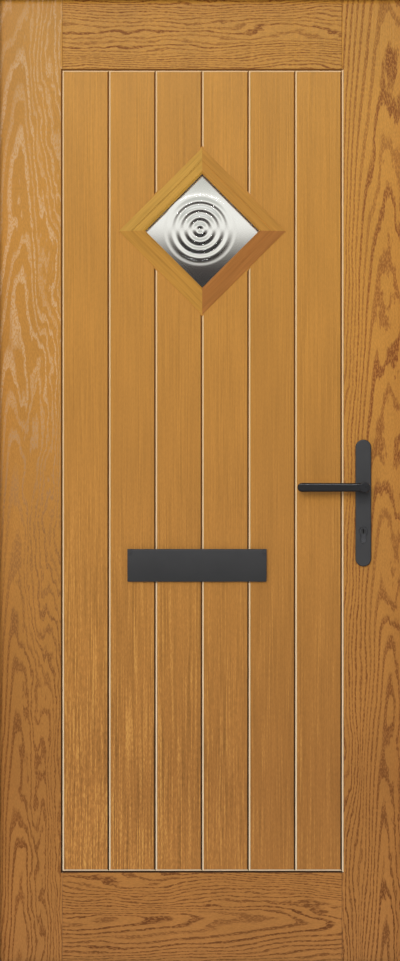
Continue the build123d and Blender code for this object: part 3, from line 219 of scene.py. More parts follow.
# %% [markdown]
# ## Grain of the stiles and rails
#
# The left stile, the right stile and the two rails are cut from different places in the tree.
# Both stiles have their crests near the outer edge, and the bottom rail shows arches lying on
# their side. The top rail was cut far from the pith, so its lines run nearly straight. The mask
# of each part chooses where its pith lies. Whole rings sway over a hand's breadth, and each
# line wanders a little by itself. A taper is how much further off the pith is for each
# millimetre along the plank. The numbers keep the parts' noise 700 mm apart, so that the grain
# breaks at every joint.

# %% Cathedral grain for the framing
LEFT_PITH = -385.0
RIGHT_PITH = 392.0
TOP_PITH = 1500.0
BOTTOM_PITH = 104.0
STILE_RING = 5.8
TOP_RING = 7.4
BOTTOM_RING = 7.2
STILE_DEPTH = 24.0
RAIL_DEPTH = 27.0
STILE_TAPER = 0.046
RAIL_TAPER = 0.07
SWAY = 15.0
WANDER = 1.9
APART = 700.0


def framing_grain(tree, x, z, rail, right_stile, upper):
    """From 0 to 1, how much early wood shows on the framing, and the place along its grain."""
    stile_pith = add(tree, "Mix", {0: right_stile, 2: LEFT_PITH, 3: RIGHT_PITH})
    rail_pith = add(tree, "Mix", {0: upper, 2: BOTTOM_PITH, 3: TOP_PITH})
    stile_across = add(tree, "Math", (x, stile_pith), operation="SUBTRACT")
    rail_across = add(tree, "Math", (z, rail_pith), operation="SUBTRACT")
    across = add(tree, "Mix", {0: rail, 2: stile_across, 3: rail_across})
    along = add(tree, "Mix", {0: rail, 2: z, 3: x})
    number = add(tree, "Math", (rail, 2.0, right_stile), operation="MULTIPLY_ADD")
    apart = add(tree, "Math", (number, APART), operation="MULTIPLY")
    plank = add(tree, "CombineXYZ", (across, apart, along))
    wide = blots(tree, plank, (70, 400, 300), 3.1, 1.5)
    close = blots(tree, plank, (9, 400, 36), 8.4, 2.5)
    sway = add(tree, "MapRange", {0: wide, 1: 0.3, 2: 0.7, 3: -SWAY, 4: SWAY})
    wander = add(tree, "MapRange", {0: close, 1: 0.3, 2: 0.7, 3: -WANDER, 4: WANDER})
    shift = add(tree, "Math", (sway, wander), operation="ADD")
    stile_depth = add(tree, "Math", (z, STILE_TAPER, STILE_DEPTH), operation="MULTIPLY_ADD")
    rail_depth = add(tree, "Math", (x, RAIL_TAPER, RAIL_DEPTH), operation="MULTIPLY_ADD")
    depth = add(tree, "Mix", {0: rail, 2: stile_depth, 3: rail_depth})
    deep = add(tree, "Math", (shift, 0.5, depth), operation="MULTIPLY_ADD")
    rail_ring = add(tree, "Mix", {0: upper, 2: BOTTOM_RING, 3: TOP_RING})
    ring = add(tree, "Mix", {0: rail, 2: STILE_RING, 3: rail_ring})
    return growth_rings(tree, across, deep, ring, shift), plank


print("a ring on a stile is", STILE_RING, "mm wide")

# %% [markdown]
# ## Grain of the boards
#
# The boards are quarter-sawn, so their grain is straight: fine fibres, which come and go in
# long flames, and a stipple of short pores. Each board is a piece of its own, so its number
# moves its grain along and gives it a tint.


# %% Boards
def board_grain(tree, x, z):
    """The boards' fine straight grain, and a number from 0 to 1 for each board."""
    count = add(tree, "Math", (x, BOARD), operation="DIVIDE")
    number = add(tree, "Math", (count,), operation="FLOOR")
    tint = add(tree, "TexWhiteNoise", {"W": number}, noise_dimensions="1D")
    apart = add(tree, "Math", (number, 400.0), operation="MULTIPLY")
    plank = add(tree, "CombineXYZ", (x, apart, z))
    fibres = blots(tree, plank, (2.9, 300, 170), 1.7, 1.5)
    flames = blots(tree, plank, (15, 300, 260), 5.2)
    dots = blots(tree, plank, (2.2, 300, 8), 9.1, 1.0)
    fine = add(tree, "MapRange", {0: fibres, 1: 0.38, 2: 0.62, 3: -1.0, 4: 1.0})
    broad = add(tree, "MapRange", {0: flames, 1: 0.32, 2: 0.68, 3: 0.15, 4: 1.0})
    stipple = add(tree, "MapRange", {0: dots, 1: 0.35, 2: 0.65, 3: -0.4, 4: 0.4})
    return add(tree, "Math", (fine, broad, stipple), operation="MULTIPLY_ADD"), tint


print("a board is", round(BOARD, 1), "mm wide")

# %% [markdown]
# ## The walls of the grooves
#
# In the grooves, light and shade are painted on: one wall gets a pale painted highlight, and the
# other a dark painted shade. The highlighted walls face left, and away from the middle of the
# door's height. A wall is found by how deep it lies under the leaf's face and by the direction in
# which it faces, which the object's own normal gives. Outside the panel the thin joint lines get a
# quarter of the same painted highlight and shade. The panel's lip lies 5 mm outside its edge.

# %% Groove walls
LEAF_MIDDLE = 13.0
LEAF_HALF = 22.0
LIP = 5.0
LIP_EDGE = PANEL_EDGE + LIP
LIP_HALF = PANEL_HALF + LIP
JOINT_PAINTED_LIGHT = 0.25


def painted_groove_light(tree, place, x, z, upper):
    """Masks that are 1 where the painted highlight and where the painted shade lie on a groove's
    walls.
    """
    y = add(tree, "SeparateXYZ", (place,)).outputs["Y"]
    depth = add(tree, "Math", (LEAF_HALF, away_from(tree, y, LEAF_MIDDLE)), operation="SUBTRACT")
    well_in = add(tree, "MapRange", {0: depth, 1: 0.5, 2: 0.9})
    just_in = add(tree, "MapRange", {0: depth, 1: 0.05, 2: 0.3})
    facing = add(tree, "SeparateXYZ", (add(tree, "TexCoord").outputs["Normal"],))
    side = add(tree, "Mix", {0: upper, 2: -1.0, 3: 1.0})
    up = add(tree, "Math", (facing.outputs["Z"], side), operation="MULTIPLY")
    # Painted light: walls facing left, or away from the door's middle, get the painted highlight.
    light_facing = add(tree, "Math", (up, facing.outputs["X"]), operation="SUBTRACT")
    towards = add(tree, "MapRange", {0: light_facing, 1: 0.25, 2: 0.5})
    away = add(tree, "MapRange", {0: light_facing, 1: -0.25, 2: -0.5})
    width = add(tree, "Math", (away_from(tree, x, 0.0), LIP_EDGE), operation="LESS_THAN")
    height = add(tree, "Math", (away_from(tree, z, MIDDLE), LIP_HALF), operation="LESS_THAN")
    panel = add(tree, "Math", (width, height), operation="MULTIPLY")
    share = add(tree, "MapRange", {0: panel, 3: JOINT_PAINTED_LIGHT, 4: 1.0})
    painted_lit_wall = add(tree, "Math", (towards, well_in), operation="MULTIPLY")
    painted_shade_wall = add(tree, "Math", (away, just_in), operation="MULTIPLY")
    pale = add(tree, "Math", (painted_lit_wall, share), operation="MULTIPLY")
    dark = add(tree, "Math", (painted_shade_wall, share), operation="MULTIPLY")
    return pale, dark


print("the leaf's faces lie at", LEAF_MIDDLE - LEAF_HALF, "and", LEAF_MIDDLE + LEAF_HALF, "mm")

# %% [markdown]
# ## The colours of the oak skin
#
# The door's faces are thermoset sheets pressed in a mould that carries the pattern of real oak,
# then stained by hand. The stain gathers in the pores, so the pores are coloured bands and the
# surface between them is smooth and golden. The colours are lists by height and grow darker
# towards the foot of the door: painted shade over the stain's own colour. On the left stile the
# pores in the upper part are painted pale, as a painted highlight where the embossed grain
# catches the light.

# %% Colours of the oak, by height
DOOR_TOP = 2050.0
# The stain's colour, darkened towards the foot by painted shade.
STAIN_WITH_PAINTED_SHADE = (
    (0.0, "AA7540"), (0.1, "AB753C"), (0.2, "A57038"), (0.45, "B47D3B"), (0.75, "BF8639"),
    (1.0, "C28A3A"),
)
# Pore colours of the left stile: dark pores low down, and pale painted glints of light higher up.
LEFT_PORES_WITH_PAINTED_GLINTS = (
    (0.0, "74441F"), (0.28, "7A4A22"), (0.45, "98693A"), (0.62, "D2A877"), (1.0, "DFB686"),
)
RIGHT_PORES = (
    (0.0, "663B1D"), (0.35, "7A4822"), (0.7, "8A5024"), (0.9, "875026"), (1.0, "7E4620"),
)
# Painted shade and painted highlight for the grooves' two walls, by height.
GROOVE_PAINTED_SHADES = ((0.0, "2E1C0E"), (0.2, "3A2412"), (0.6, "6A451F"), (1.0, "7A4F22"))
GROOVE_PAINTED_HIGHLIGHTS = ((0.0, "FFEBC9"), (0.3, "FCE0B8"), (0.6, "F8D6A4"), (1.0, "F8D6A4"))
GOLD = "CFA055"


def by_height(tree, z, stops):
    """A colour that changes from the foot of the door to its head."""
    share = add(tree, "MapRange", {0: z, 1: 0.0, 2: DOOR_TOP})
    return add(tree, "ValToRGB", {0: share}, stops)


def framing_colour(tree, z, rail, board, right_stile, rings, speck):
    """The stained framing's colour, and how much of each spot is pore, from 0 to 1."""
    dark_side = add(tree, "Math", (right_stile, rail), operation="MAXIMUM")
    left_closed = add(tree, "MapRange", {0: z, 1: 700.0, 2: 1200.0, 3: 0.55, 4: 0.12})
    closed = add(tree, "Mix", {0: dark_side, 2: left_closed, 3: 0.5})
    open_pores = add(tree, "MapRange", {0: speck, 1: 0.42, 2: 0.52, 3: closed, 4: 1.0})
    early = add(tree, "Math", (rings, open_pores), operation="MULTIPLY")
    framing = add(tree, "Math", (1.0, board), operation="SUBTRACT")
    grain = add(tree, "Math", (early, framing), operation="MULTIPLY")
    # The left stile's upper pores carry painted highlights.
    left_pores_and_glints, right_colour = by_height(tree, z, LEFT_PORES_WITH_PAINTED_GLINTS), by_height(tree, z, RIGHT_PORES)
    pores = add(tree, "Mix", {0: dark_side, 6: left_pores_and_glints, 7: right_colour}, data_type="RGBA")
    # The stain's colour with painted shade towards the foot.
    stain = by_height(tree, z, STAIN_WITH_PAINTED_SHADE)
    framed = add(tree, "Mix", {0: grain, 6: stain, 7: pores.outputs[2]}, data_type="RGBA")
    return framed.outputs[2], grain


print("stops of the stain:", len(STAIN_WITH_PAINTED_SHADE))

# %% [markdown]
# ## Light and dark in the wood
#
# On top of the stain, each part has its own light and dark. Every board has a tint, and towards
# the foot the boards on the left are lighter: the tone leans by 0.0004 for each millimetre.
# The fibres show most at the foot of the left boards, where the stain was wiped the least. The
# framing is darker near the head, and the right stile is a little paler above its foot.

# %% Tones of the boards and of the framing
LEAN = -0.0004
FIBRES_ANYWHERE = 0.09
FIBRES_AT_FOOT = 0.38


def board_tone(tree, x, z, tint):
    """How light the wood of a board is, and how strongly its fibres show."""
    tinted = add(tree, "MapRange", {0: tint, 3: 0.96, 4: 1.03})
    low = add(tree, "MapRange", {0: z, 1: 250.0, 2: 1300.0, 3: 1.0, 4: 0.25})
    sideways = add(tree, "Math", (x, LEAN), operation="MULTIPLY")
    tone = add(tree, "Math", (sideways, low, tinted), operation="MULTIPLY_ADD")
    side = add(tree, "MapRange", {0: x, 1: -300.0, 2: 150.0, 3: 1.0, 4: 0.25})
    foot = add(tree, "MapRange", {0: z, 1: 250.0, 2: 1100.0, 3: FIBRES_AT_FOOT, 4: 0.0})
    return tone, add(tree, "Math", (side, foot, FIBRES_ANYWHERE), operation="MULTIPLY_ADD")


def framing_tone(tree, z, right_stile, speck):
    """How light the wood of the framing is, with the fine specks between its rings."""
    between = add(tree, "MapRange", {0: speck, 1: 0.35, 2: 0.65, 3: 1.08, 4: 0.92})
    near_head = add(tree, "MapRange", {0: z, 1: 1650.0, 2: 2000.0, 3: 1.0, 4: 0.92})
    paler = add(tree, "MapRange", {0: z, 1: 250.0, 2: 600.0, 3: 0.0, 4: 0.055})
    lifted = add(tree, "Math", (paler, right_stile, 1.0), operation="MULTIPLY_ADD")
    even = add(tree, "Math", (between, near_head), operation="MULTIPLY")
    return add(tree, "Math", (even, lifted), operation="MULTIPLY")


print("fibres change the tone by", FIBRES_ANYWHERE, "to", FIBRES_ANYWHERE + FIBRES_AT_FOOT)

# %% [markdown]
# ## The oak skin
#
# Now the skin can be put together: the framing's colour with its painted shade and highlights, the
# light and dark of each part, some golden streaks on the boards, and the painted highlight and
# painted shade on the two walls of the grooves. A satin lacquer lies over it all, and it is duller
# in the pores, which are also a little sunk.
#
# The pores of real oak are about 0.3 mm wide. That is finer than a pixel of the picture, which
# covers 2 mm, so they are drawn 2 mm wide and 7 mm long, or they would not show at all.


# %% The skin's material
def pressed_oak():
    """Oak-grained pressed skin, stained golden, with a satin lacquer."""
    material, tree, place = begin("pressed_oak_skin")
    x, z, rail, board, right_stile, upper = skin_masks(tree, place)
    rings, plank = framing_grain(tree, x, z, rail, right_stile, upper)
    fibres, tint = board_grain(tree, x, z)
    speck = blots(tree, plank, (2.1, 400, 6.5), 2.2, 1.0)
    colour, grain = framing_colour(tree, z, rail, board, right_stile, rings, speck)

    own_tone, strength = board_tone(tree, x, z, tint)
    fibre_part = add(tree, "Math", (fibres, strength), operation="MULTIPLY")
    fibre_tone = add(tree, "Math", (1.0, fibre_part), operation="SUBTRACT")
    on_boards = add(tree, "Math", (own_tone, fibre_tone), operation="MULTIPLY")
    on_framing = framing_tone(tree, z, right_stile, speck)
    here = add(tree, "Mix", {0: board, 2: on_framing, 3: on_boards})
    cloud = blots(tree, place, (60, 60, 240), 6.0)
    clouded = add(tree, "MapRange", {0: cloud, 1: 0.3, 2: 0.7, 3: 0.95, 4: 1.05})
    level = add(tree, "Math", (clouded, here), operation="MULTIPLY")
    wood = add(tree, "VectorMath", {0: colour, "Scale": level}, operation="SCALE")

    streak = add(tree, "MapRange", {0: fibre_part, 1: -0.08, 2: -0.4, 3: 0.0, 4: 0.6})
    golden_part = add(tree, "Math", (streak, board), operation="MULTIPLY")
    golden = add(tree, "Mix", {0: golden_part, 6: wood, 7: hex_colour(GOLD)}, data_type="RGBA")
    # The grooves' walls get a painted highlight and a painted shade.
    pale, dark = painted_groove_light(tree, place, x, z, upper)
    groove_painted_shade, groove_painted_highlight = by_height(tree, z, GROOVE_PAINTED_SHADES), by_height(tree, z, GROOVE_PAINTED_HIGHLIGHTS)
    shaded = add(tree, "Mix", {0: dark, 6: golden.outputs[2], 7: groove_painted_shade}, data_type="RGBA")
    coloured = add(tree, "Mix", {0: pale, 6: shaded.outputs[2], 7: groove_painted_highlight}, data_type="RGBA")

    relief = add(tree, "Math", (grain, fibres), operation="ADD")
    bump = add(tree, "Bump", {"Strength": 0.35, "Distance": 0.0003, "Height": relief}, invert=True)
    gloss = add(tree, "MapRange", {0: grain, 3: 0.42, 4: 0.62})
    shader = add(tree, "BsdfPrincipled", {
        "Base Color": coloured.outputs[2], "Roughness": gloss, "Normal": bump, "IOR": 1.45,
        "Specular IOR Level": 0.12,
    })
    add(tree, "OutputMaterial", {"Surface": shader})
    return material


oak_skin = pressed_oak()
print("oak skin nodes:", len(oak_skin.node_tree.nodes))

# %% [markdown]
# ## The diamond's moulded frame
#
# The square light is held in a moulded frame that is set on its corner. Its four sides are
# mitred, with the grain along each side. Their tones are painted light and shade: the upper left
# is painted the lightest and most yellow, as if lit from the upper left, and the lower right is
# painted a shaded reddish brown. Turning the coordinates by 45 degrees makes each side straight,
# and comparing the two turned coordinates tells the sides apart. The steps of the moulding come
# from the model's own slopes.

# %% The diamond frame's material
DIAMOND_CENTRE = 1559.6
# Painted light and shade on the four sides: lit upper left, shaded lower right.
PAINTED_LIGHT_UPPER_LEFT, PAINTED_TONE_UPPER_RIGHT, PAINTED_TONE_LOWER_LEFT, PAINTED_SHADE_LOWER_RIGHT = "C5953E", "C0893D", "BE8A3D", "AB7038"


def mitred_oak():
    """Moulded oak-grained frame with mitred corners."""
    material, tree, place = begin("mitred_oak_moulding")
    axes = add(tree, "SeparateXYZ", (place,))
    x = axes.outputs["X"]
    rise = add(tree, "Math", (axes.outputs["Z"], DIAMOND_CENTRE), operation="SUBTRACT")
    rising = add(tree, "Math", (x, rise), operation="ADD")
    falling = add(tree, "Math", (x, rise), operation="SUBTRACT")
    on_rising = add(tree, "Math", (
        away_from(tree, rising, 0.0), away_from(tree, falling, 0.0),
    ), operation="GREATER_THAN")
    above = add(tree, "Math", (rising, 0.0), operation="GREATER_THAN")
    below = add(tree, "Math", (falling, 0.0), operation="GREATER_THAN")
    one_pair = add(tree, "Mix", {
        0: above, 6: hex_colour(PAINTED_TONE_LOWER_LEFT), 7: hex_colour(PAINTED_TONE_UPPER_RIGHT),
    }, data_type="RGBA")
    other_pair = add(tree, "Mix", {
        0: below, 6: hex_colour(PAINTED_LIGHT_UPPER_LEFT), 7: hex_colour(PAINTED_SHADE_LOWER_RIGHT),
    }, data_type="RGBA")
    # Each side takes its painted light or painted shade as its base colour.
    base = add(tree, "Mix", {
        0: on_rising, 6: other_pair.outputs[2], 7: one_pair.outputs[2],
    }, data_type="RGBA")
    across = add(tree, "Mix", {0: on_rising, 2: falling, 3: rising})
    along = add(tree, "Mix", {0: on_rising, 2: rising, 3: falling})
    plank = add(tree, "CombineXYZ", (across, axes.outputs["Y"], along))
    fibres = blots(tree, plank, (4.0, 30, 120), 4.4, 3.0)
    streaks = add(tree, "MapRange", {0: fibres, 1: 0.32, 2: 0.7, 3: 1.06, 4: 0.84})
    wood = add(tree, "VectorMath", {0: base.outputs[2], "Scale": streaks}, operation="SCALE")
    bump = add(tree, "Bump", {"Strength": 0.25, "Distance": 0.0002, "Height": fibres})
    gloss = add(tree, "MapRange", {0: fibres, 1: 0.3, 2: 0.7, 3: 0.4, 4: 0.52})
    shader = add(tree, "BsdfPrincipled", {
        "Base Color": wood, "Roughness": gloss, "Normal": bump, "IOR": 1.45,
        "Specular IOR Level": 0.12,
    })
    add(tree, "OutputMaterial", {"Surface": shader})
    return material


oak_moulding = mitred_oak()
print("the diamond's centre is", round(DIAMOND_CENTRE / MM, 3), "m up")

# %% [markdown]
# ## Frame timber and edge timber
#
# The frame round the door is planed oak, and the leaf's edges are glued strips of a plainer
# timber under a brown stain. Both have straight grain, since such lengths are cut along the
# fibres on purpose. The jambs and the leaf's sides run up, and the head and the leaf's rails run
# across, so each timber is made once for each direction. The ring is the width of one growth
# ring, and the fibres are drawn 2.2 mm wide, coarser than real ones, or they would not show.

# %% Straight-grained timber
RUN = 420.0
FIBRE, FIBRE_RUN = 2.2, 60.0


def planed_timber(name, light, dark, upright, ring):
    """Planed and stained timber with straight grain, upright or level."""
    material, tree, place = begin(name)
    size = (ring, ring, RUN) if upright else (RUN, ring, ring)
    fine = (FIBRE, FIBRE, FIBRE_RUN) if upright else (FIBRE_RUN, FIBRE, FIBRE)
    bands = blots(tree, place, size, 1.0)
    fibres = blots(tree, place, fine, 60.0)
    line = add(tree, "MapRange", {0: bands, 1: 0.38, 2: 0.62})
    fibre = add(tree, "MapRange", {0: fibres, 1: 0.35, 2: 0.65})
    figure = add(tree, "Mix", {0: 0.45, 2: line, 3: fibre})
    colour = add(tree, "ValToRGB", {0: figure}, ((0.15, light), (0.85, dark)))
    bump = add(tree, "Bump", {"Strength": 0.25, "Distance": 0.0003, "Height": figure}, invert=True)
    gloss = add(tree, "MapRange", {0: figure, 3: 0.45, 4: 0.62})
    shader = add(tree, "BsdfPrincipled", {
        "Base Color": colour, "Roughness": gloss, "Normal": bump, "IOR": 1.45,
        "Specular IOR Level": 0.12,
    })
    add(tree, "OutputMaterial", {"Surface": shader})
    return material


oak_upright = planed_timber("planed_oak_upright", "BC873C", "99622A", True, 9.0)
oak_level = planed_timber("planed_oak_level", "BC873C", "99622A", False, 9.0)
edge_upright = planed_timber("edge_timber_upright", "A9763A", "7F5122", True, 5.0)
edge_level = planed_timber("edge_timber_level", "A9763A", "7F5122", False, 5.0)
print("timbers:", oak_upright.name, oak_level.name, edge_upright.name, edge_level.name)

# %% [markdown]
# ## Satin black powder coat
#
# The letterplate, levers, backplates and hinges are cast or pressed metal under a baked black
# powder. The powder melts into a skin with a faint orange-peel ripple of about a millimetre and
# a soft sheen. The ripple is drawn 3 mm wide, because a finer one would not show in the picture.
# Hands polish the levers to a deeper black, and wear the edges smoother and lighter. The
# letterplate's coat is darker towards its foot: painted shade, as if lit from above.

# %% Powder coat
PEEL = 3.0
DUST = 40.0
# Heights in millimetres between which painted shade darkens the letterplate towards its foot.
PLATE_PAINTED_SHADE = (824.0, 892.0)


def powder_coat(name, low, high, rough, painted_shade_span=None):
    """Baked powder coat with orange peel, its tone clouding between two colours.

    If two heights in millimetres are given, painted shade darkens the coat from the upper to the
    lower one.
    """
    material, tree, place = begin(name)
    peel = blots(tree, place, (PEEL, PEEL, PEEL), 1.0)
    dust = blots(tree, place, (DUST, DUST, DUST), 7.0, 3.0)
    colour = add(tree, "ValToRGB", {0: dust}, ((0.3, low), (0.7, high)))
    if painted_shade_span:
        # Painted shade, darker towards the foot.
        height = add(tree, "SeparateXYZ", (place,)).outputs["Z"]
        shade = add(tree, "MapRange", {0: height, 1: painted_shade_span[0], 2: painted_shade_span[1], 3: 0.5, 4: 1.0})
        colour = add(tree, "VectorMath", {0: colour, "Scale": shade}, operation="SCALE")
    gloss = add(tree, "MapRange", {0: dust, 1: 0.3, 2: 0.7, 3: rough - 0.06, 4: rough + 0.07})
    bump = add(tree, "Bump", {"Strength": 0.12, "Distance": 0.0002, "Height": peel})
    shader = add(tree, "BsdfPrincipled", {
        "Base Color": colour, "Roughness": gloss, "Normal": bump, "IOR": 1.5,
        "Specular IOR Level": 0.25,
    })
    add(tree, "OutputMaterial", {"Surface": shader})
    return material


black_coat = powder_coat("satin_black_powder_coat", "303031", "363637", 0.48)
plate_coat = powder_coat("black_powder_coat_with_painted_shade", "2F2F30", "353536", 0.5, PLATE_PAINTED_SHADE)
lever_coat = powder_coat("polished_black_powder_coat", "131315", "17171A", 0.24)
worn_coat = powder_coat("worn_black_powder_coat", "3A3A3B", "444445", 0.4)
print("coats:", black_coat.name, plate_coat.name, lever_coat.name, worn_coat.name)

# %% [markdown]
# ## Zinc, nickel and aluminium
#
# Four bare metals are left. Keeps, bolts, hooks, rods and screws are steel with bright zinc,
# which shows the cloudy crystals of its bath. The lock cylinder is plated with black nickel,
# and the hinge bushes with bright nickel. The threshold is extruded aluminium with fine lines
# from its die along its length. A metal's colour sits in its reflection, so metallic is 1 and
# the rest is roughness. The clouds of a nickel bath are drawn 14 mm wide, and the marks of
# turning 1.5 mm by 6 mm.

# %% Bare metals
BATH = (14, 14, 14)
TURNED = (1.5, 6.0, 1.5)


def bare_metal(name, light, dark, size, rough, lines):
    """Plated or extruded metal: blots of that size in millimetres vary its colour and roughness."""
    material, tree, place = begin(name)
    clouds = blots(tree, place, size, 2.0, 3.0)
    marks = blots(tree, place, lines, 5.0)
    colour = add(tree, "ValToRGB", {0: clouds}, ((0.3, dark), (0.7, light)))
    gloss = add(tree, "MapRange", {0: marks, 1: 0.3, 2: 0.7, 3: rough - 0.07, 4: rough + 0.09})
    bump = add(tree, "Bump", {"Strength": 0.1, "Distance": 0.0001, "Height": marks})
    shader = add(tree, "BsdfPrincipled", {
        "Base Color": colour, "Metallic": 1.0, "Roughness": gloss, "Normal": bump,
    })
    add(tree, "OutputMaterial", {"Surface": shader})
    return material


zinc = bare_metal("bright_zinc_plate", "C9CBCC", "A4A8AC", (9, 9, 9), 0.34, (2.5, 2.5, 2.5))
black_nickel = bare_metal("black_nickel_plate", "4A4A4C", "38383A", BATH, 0.35, TURNED)
nickel = bare_metal("nickel_plated_brass", "CFC7B6", "B8AF9C", BATH, 0.24, TURNED)
aluminium = bare_metal("extruded_aluminium", "C4C5C6", "A9ABAD", (60, 12, 12), 0.4, (400, 1.8, 1.8))
print("metals:", zinc.name, black_nickel.name, nickel.name, aluminium.name)

# %% [markdown]
# ## Rubber, foam and plastics
#
# The seals are extruded black rubber with a dull bloom. The core of the leaf is rigid
# polyurethane foam in a creamy yellow with small cells, seen only where a slot opens it. The
# letterplate's sleeve is moulded black plastic with a fine spark texture. The bar between the
# panes is moulded grey plastic, and the tapes that bed the glass are a paler cellular foam. The
# key's plug is brass, blackened in a bath, which leaves it as dull as these.


# %% Dull materials
def dull(name, light, dark, size, rough, depth):
    """A dull material with cells or spark texture of that size in millimetres."""
    material, tree, place = begin(name)
    cells = blots(tree, place, (size, size, size), 3.0)
    colour = add(tree, "ValToRGB", {0: cells}, ((0.35, dark), (0.65, light)))
    gloss = add(tree, "MapRange", {0: cells, 1: 0.3, 2: 0.7, 3: rough - 0.06, 4: rough + 0.06})
    bump = add(tree, "Bump", {"Strength": 0.3, "Distance": depth, "Height": cells})
    shader = add(tree, "BsdfPrincipled", {
        "Base Color": colour, "Roughness": gloss, "Normal": bump, "IOR": 1.5,
        "Specular IOR Level": 0.4,
    })
    add(tree, "OutputMaterial", {"Surface": shader})
    return material


rubber = dull("extruded_black_rubber", "232323", "181818", 6.0, 0.72, 0.0001)
foam = dull("rigid_yellow_foam", "E2D3A6", "C9B583", 3.0, 0.85, 0.0004)
plastic = dull("moulded_black_plastic", "2A2A2B", "1D1D1E", 2.5, 0.5, 0.0001)
spacer = dull("moulded_grey_plastic", "B4B3AF", "A2A19D", 2.5, 0.5, 0.0001)
tape = dull("grey_cellular_tape", "CCCBC6", "B9B8B2", 2.0, 0.8, 0.0002)
plug_black = dull("blackened_brass", "1E1D1D", "121212", 5.0, 0.35, 0.0001)
print("dull materials:", [m.name for m in (rubber, foam, plastic, spacer, tape, plug_black)])

# %% [markdown]
# ## Clear and pressed glass
#
# The inner pane is clear float glass. The outer pane is cast: its front has the rings of a
# bullseye and a satin stipple. Both bend light with glass's index of 1.5. The stipple is drawn
# as 1.5 mm grains, a little coarser than the real one, so that it shows. Two panes have four
# surfaces, and together they would veil the view with the white of the studio. The specular
# tint weakens that reflection, as an anti-reflection coat does, and leaves the bending alone.

# %% Two glasses
STIPPLE_GRAIN = 1.5


def glass(name, stipple):
    """Glass with a stipple of that strength."""
    material, tree, place = begin(name)
    grains = blots(tree, place, (STIPPLE_GRAIN, STIPPLE_GRAIN, STIPPLE_GRAIN), 1.0, 1.0)
    bump = add(tree, "Bump", {"Strength": stipple, "Distance": 0.0002, "Height": grains})
    shader = add(tree, "BsdfPrincipled", {
        "Base Color": hex_colour("FCFCFB"), "Roughness": 0.0, "Normal": bump, "IOR": 1.5,
        "Specular Tint": (0.25, 0.25, 0.25, 1.0), "Transmission Weight": 1.0,
    })
    add(tree, "OutputMaterial", {"Surface": shader})
    return material


float_glass = glass("clear_float_glass", 0.01)
cast_glass = glass("cast_bullseye_glass", 0.3)
print("glasses:", float_glass.name, cast_glass.name)

# %% [markdown]
# ## Dressing the model
#
# Each solid of the model keeps its shape and takes one of these finishes. The table names the
# finish once and lists the nodes that wear it, so that a reader can see what is made of what.

# %% Which node wears which finish
FINISHES = {
    oak_skin: ("outer_skin", "inner_skin"),
    oak_moulding: ("outer_glazing_frame", "inner_glazing_frame"),
    oak_upright: ("hinge_jamb", "lock_jamb", "frame_stops"),
    oak_level: ("frame_head",),
    edge_upright: ("hinge_stile", "lock_stile", "lock_block"),
    edge_level: ("leaf_rails",),
    black_coat: ("outer_backplate", "inner_backplate", "frame_hinge_leaves", "door_hinge_leaves"),
    plate_coat: ("letterplate_frame", "letterplate_inner_frame", "outer_flap", "inner_flap"),
    lever_coat: ("outer_lever", "inner_lever", "thumbturn"),
    zinc: (
        "centre_keep", "hook_keeps", "keep_screws", "hinge_pins", "frame_hinge_screws",
        "door_hinge_screws", "glazing_screws", "letterplate_screws", "handle_screws",
        "cylinder_screw", "lock_faceplate", "faceplate_screws", "lock_case", "lock_case_cover",
        "hook_cases", "hook_pivots", "upper_hook", "lower_hook", "upper_drive_rod",
        "lower_drive_rod", "spindle", "follower", "latch_bolt", "deadbolt", "cylinder_cam",
    ),
    black_nickel: ("cylinder_body",),
    nickel: ("hinge_bushes",),
    aluminium: ("threshold", "water_bar"),
    rubber: ("frame_gasket",),
    tape: ("glazing_tapes",),
    foam: ("foam_core",),
    plastic: ("letterplate_sleeve",),
    spacer: ("glass_spacer",),
    plug_black: ("key_plug",),
    float_glass: ("inner_pane",),
    cast_glass: ("bullseye_pane",),
}
dressed = set()
for finish, names in FINISHES.items():
    for name in names:
        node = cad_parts[name]
        if not node.material_slots:
            node.data.materials.append(finish)
        for slot in node.material_slots:
            slot.material = finish
        dressed.add(name)
print("dressed:", len(dressed), "left over:", sorted(set(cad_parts) - dressed))

# %% [markdown]
# ## Softened and worn edges
#
# No planed, cast or pressed edge is a knife edge. A small bevel catches a line of light and
# tells the eye how thick a part is. A modifier does this without touching the model's mesh.
# It only works on edges sharper than 40 degrees, so that round parts stay as they are. The
# modifier can also give the new narrow faces a material of their own, and that is where hands
# and shoes wear a coat thin, so the edges take the worn finish.

# %% Bevels
SHARP_DEGREES = 40


def soften(name, millimetres, edge_finish):
    """Rounds the sharp edges of a node by that much, and gives them their own finish."""
    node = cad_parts[name]
    node.data.materials.append(edge_finish)
    bevel = node.modifiers.new("soft_edge", "BEVEL")
    bevel.width = millimetres / MM
    bevel.segments = 2
    bevel.limit_method = "ANGLE"
    bevel.angle_limit = math.radians(SHARP_DEGREES)
    bevel.harden_normals = True
    bevel.material = len(node.data.materials) - 1


worn_oak = planed_timber("worn_oak_edge", "CC9A52", "B07C3C", True, 9.0)
SOFT_EDGES = (
    (1.0, worn_oak, ("hinge_jamb", "lock_jamb", "frame_head", "frame_stops")),
    (0.6, worn_coat, ("outer_backplate", "inner_backplate", "outer_flap", "inner_flap")),
    (0.4, worn_coat, (
        "letterplate_frame", "letterplate_inner_frame", "frame_hinge_leaves", "door_hinge_leaves",
    )),
)
for width, edge_finish, names in SOFT_EDGES:
    for name in names:
        soften(name, width, edge_finish)
print("softened nodes:", sum(len(names) for width, edge_finish, names in SOFT_EDGES))

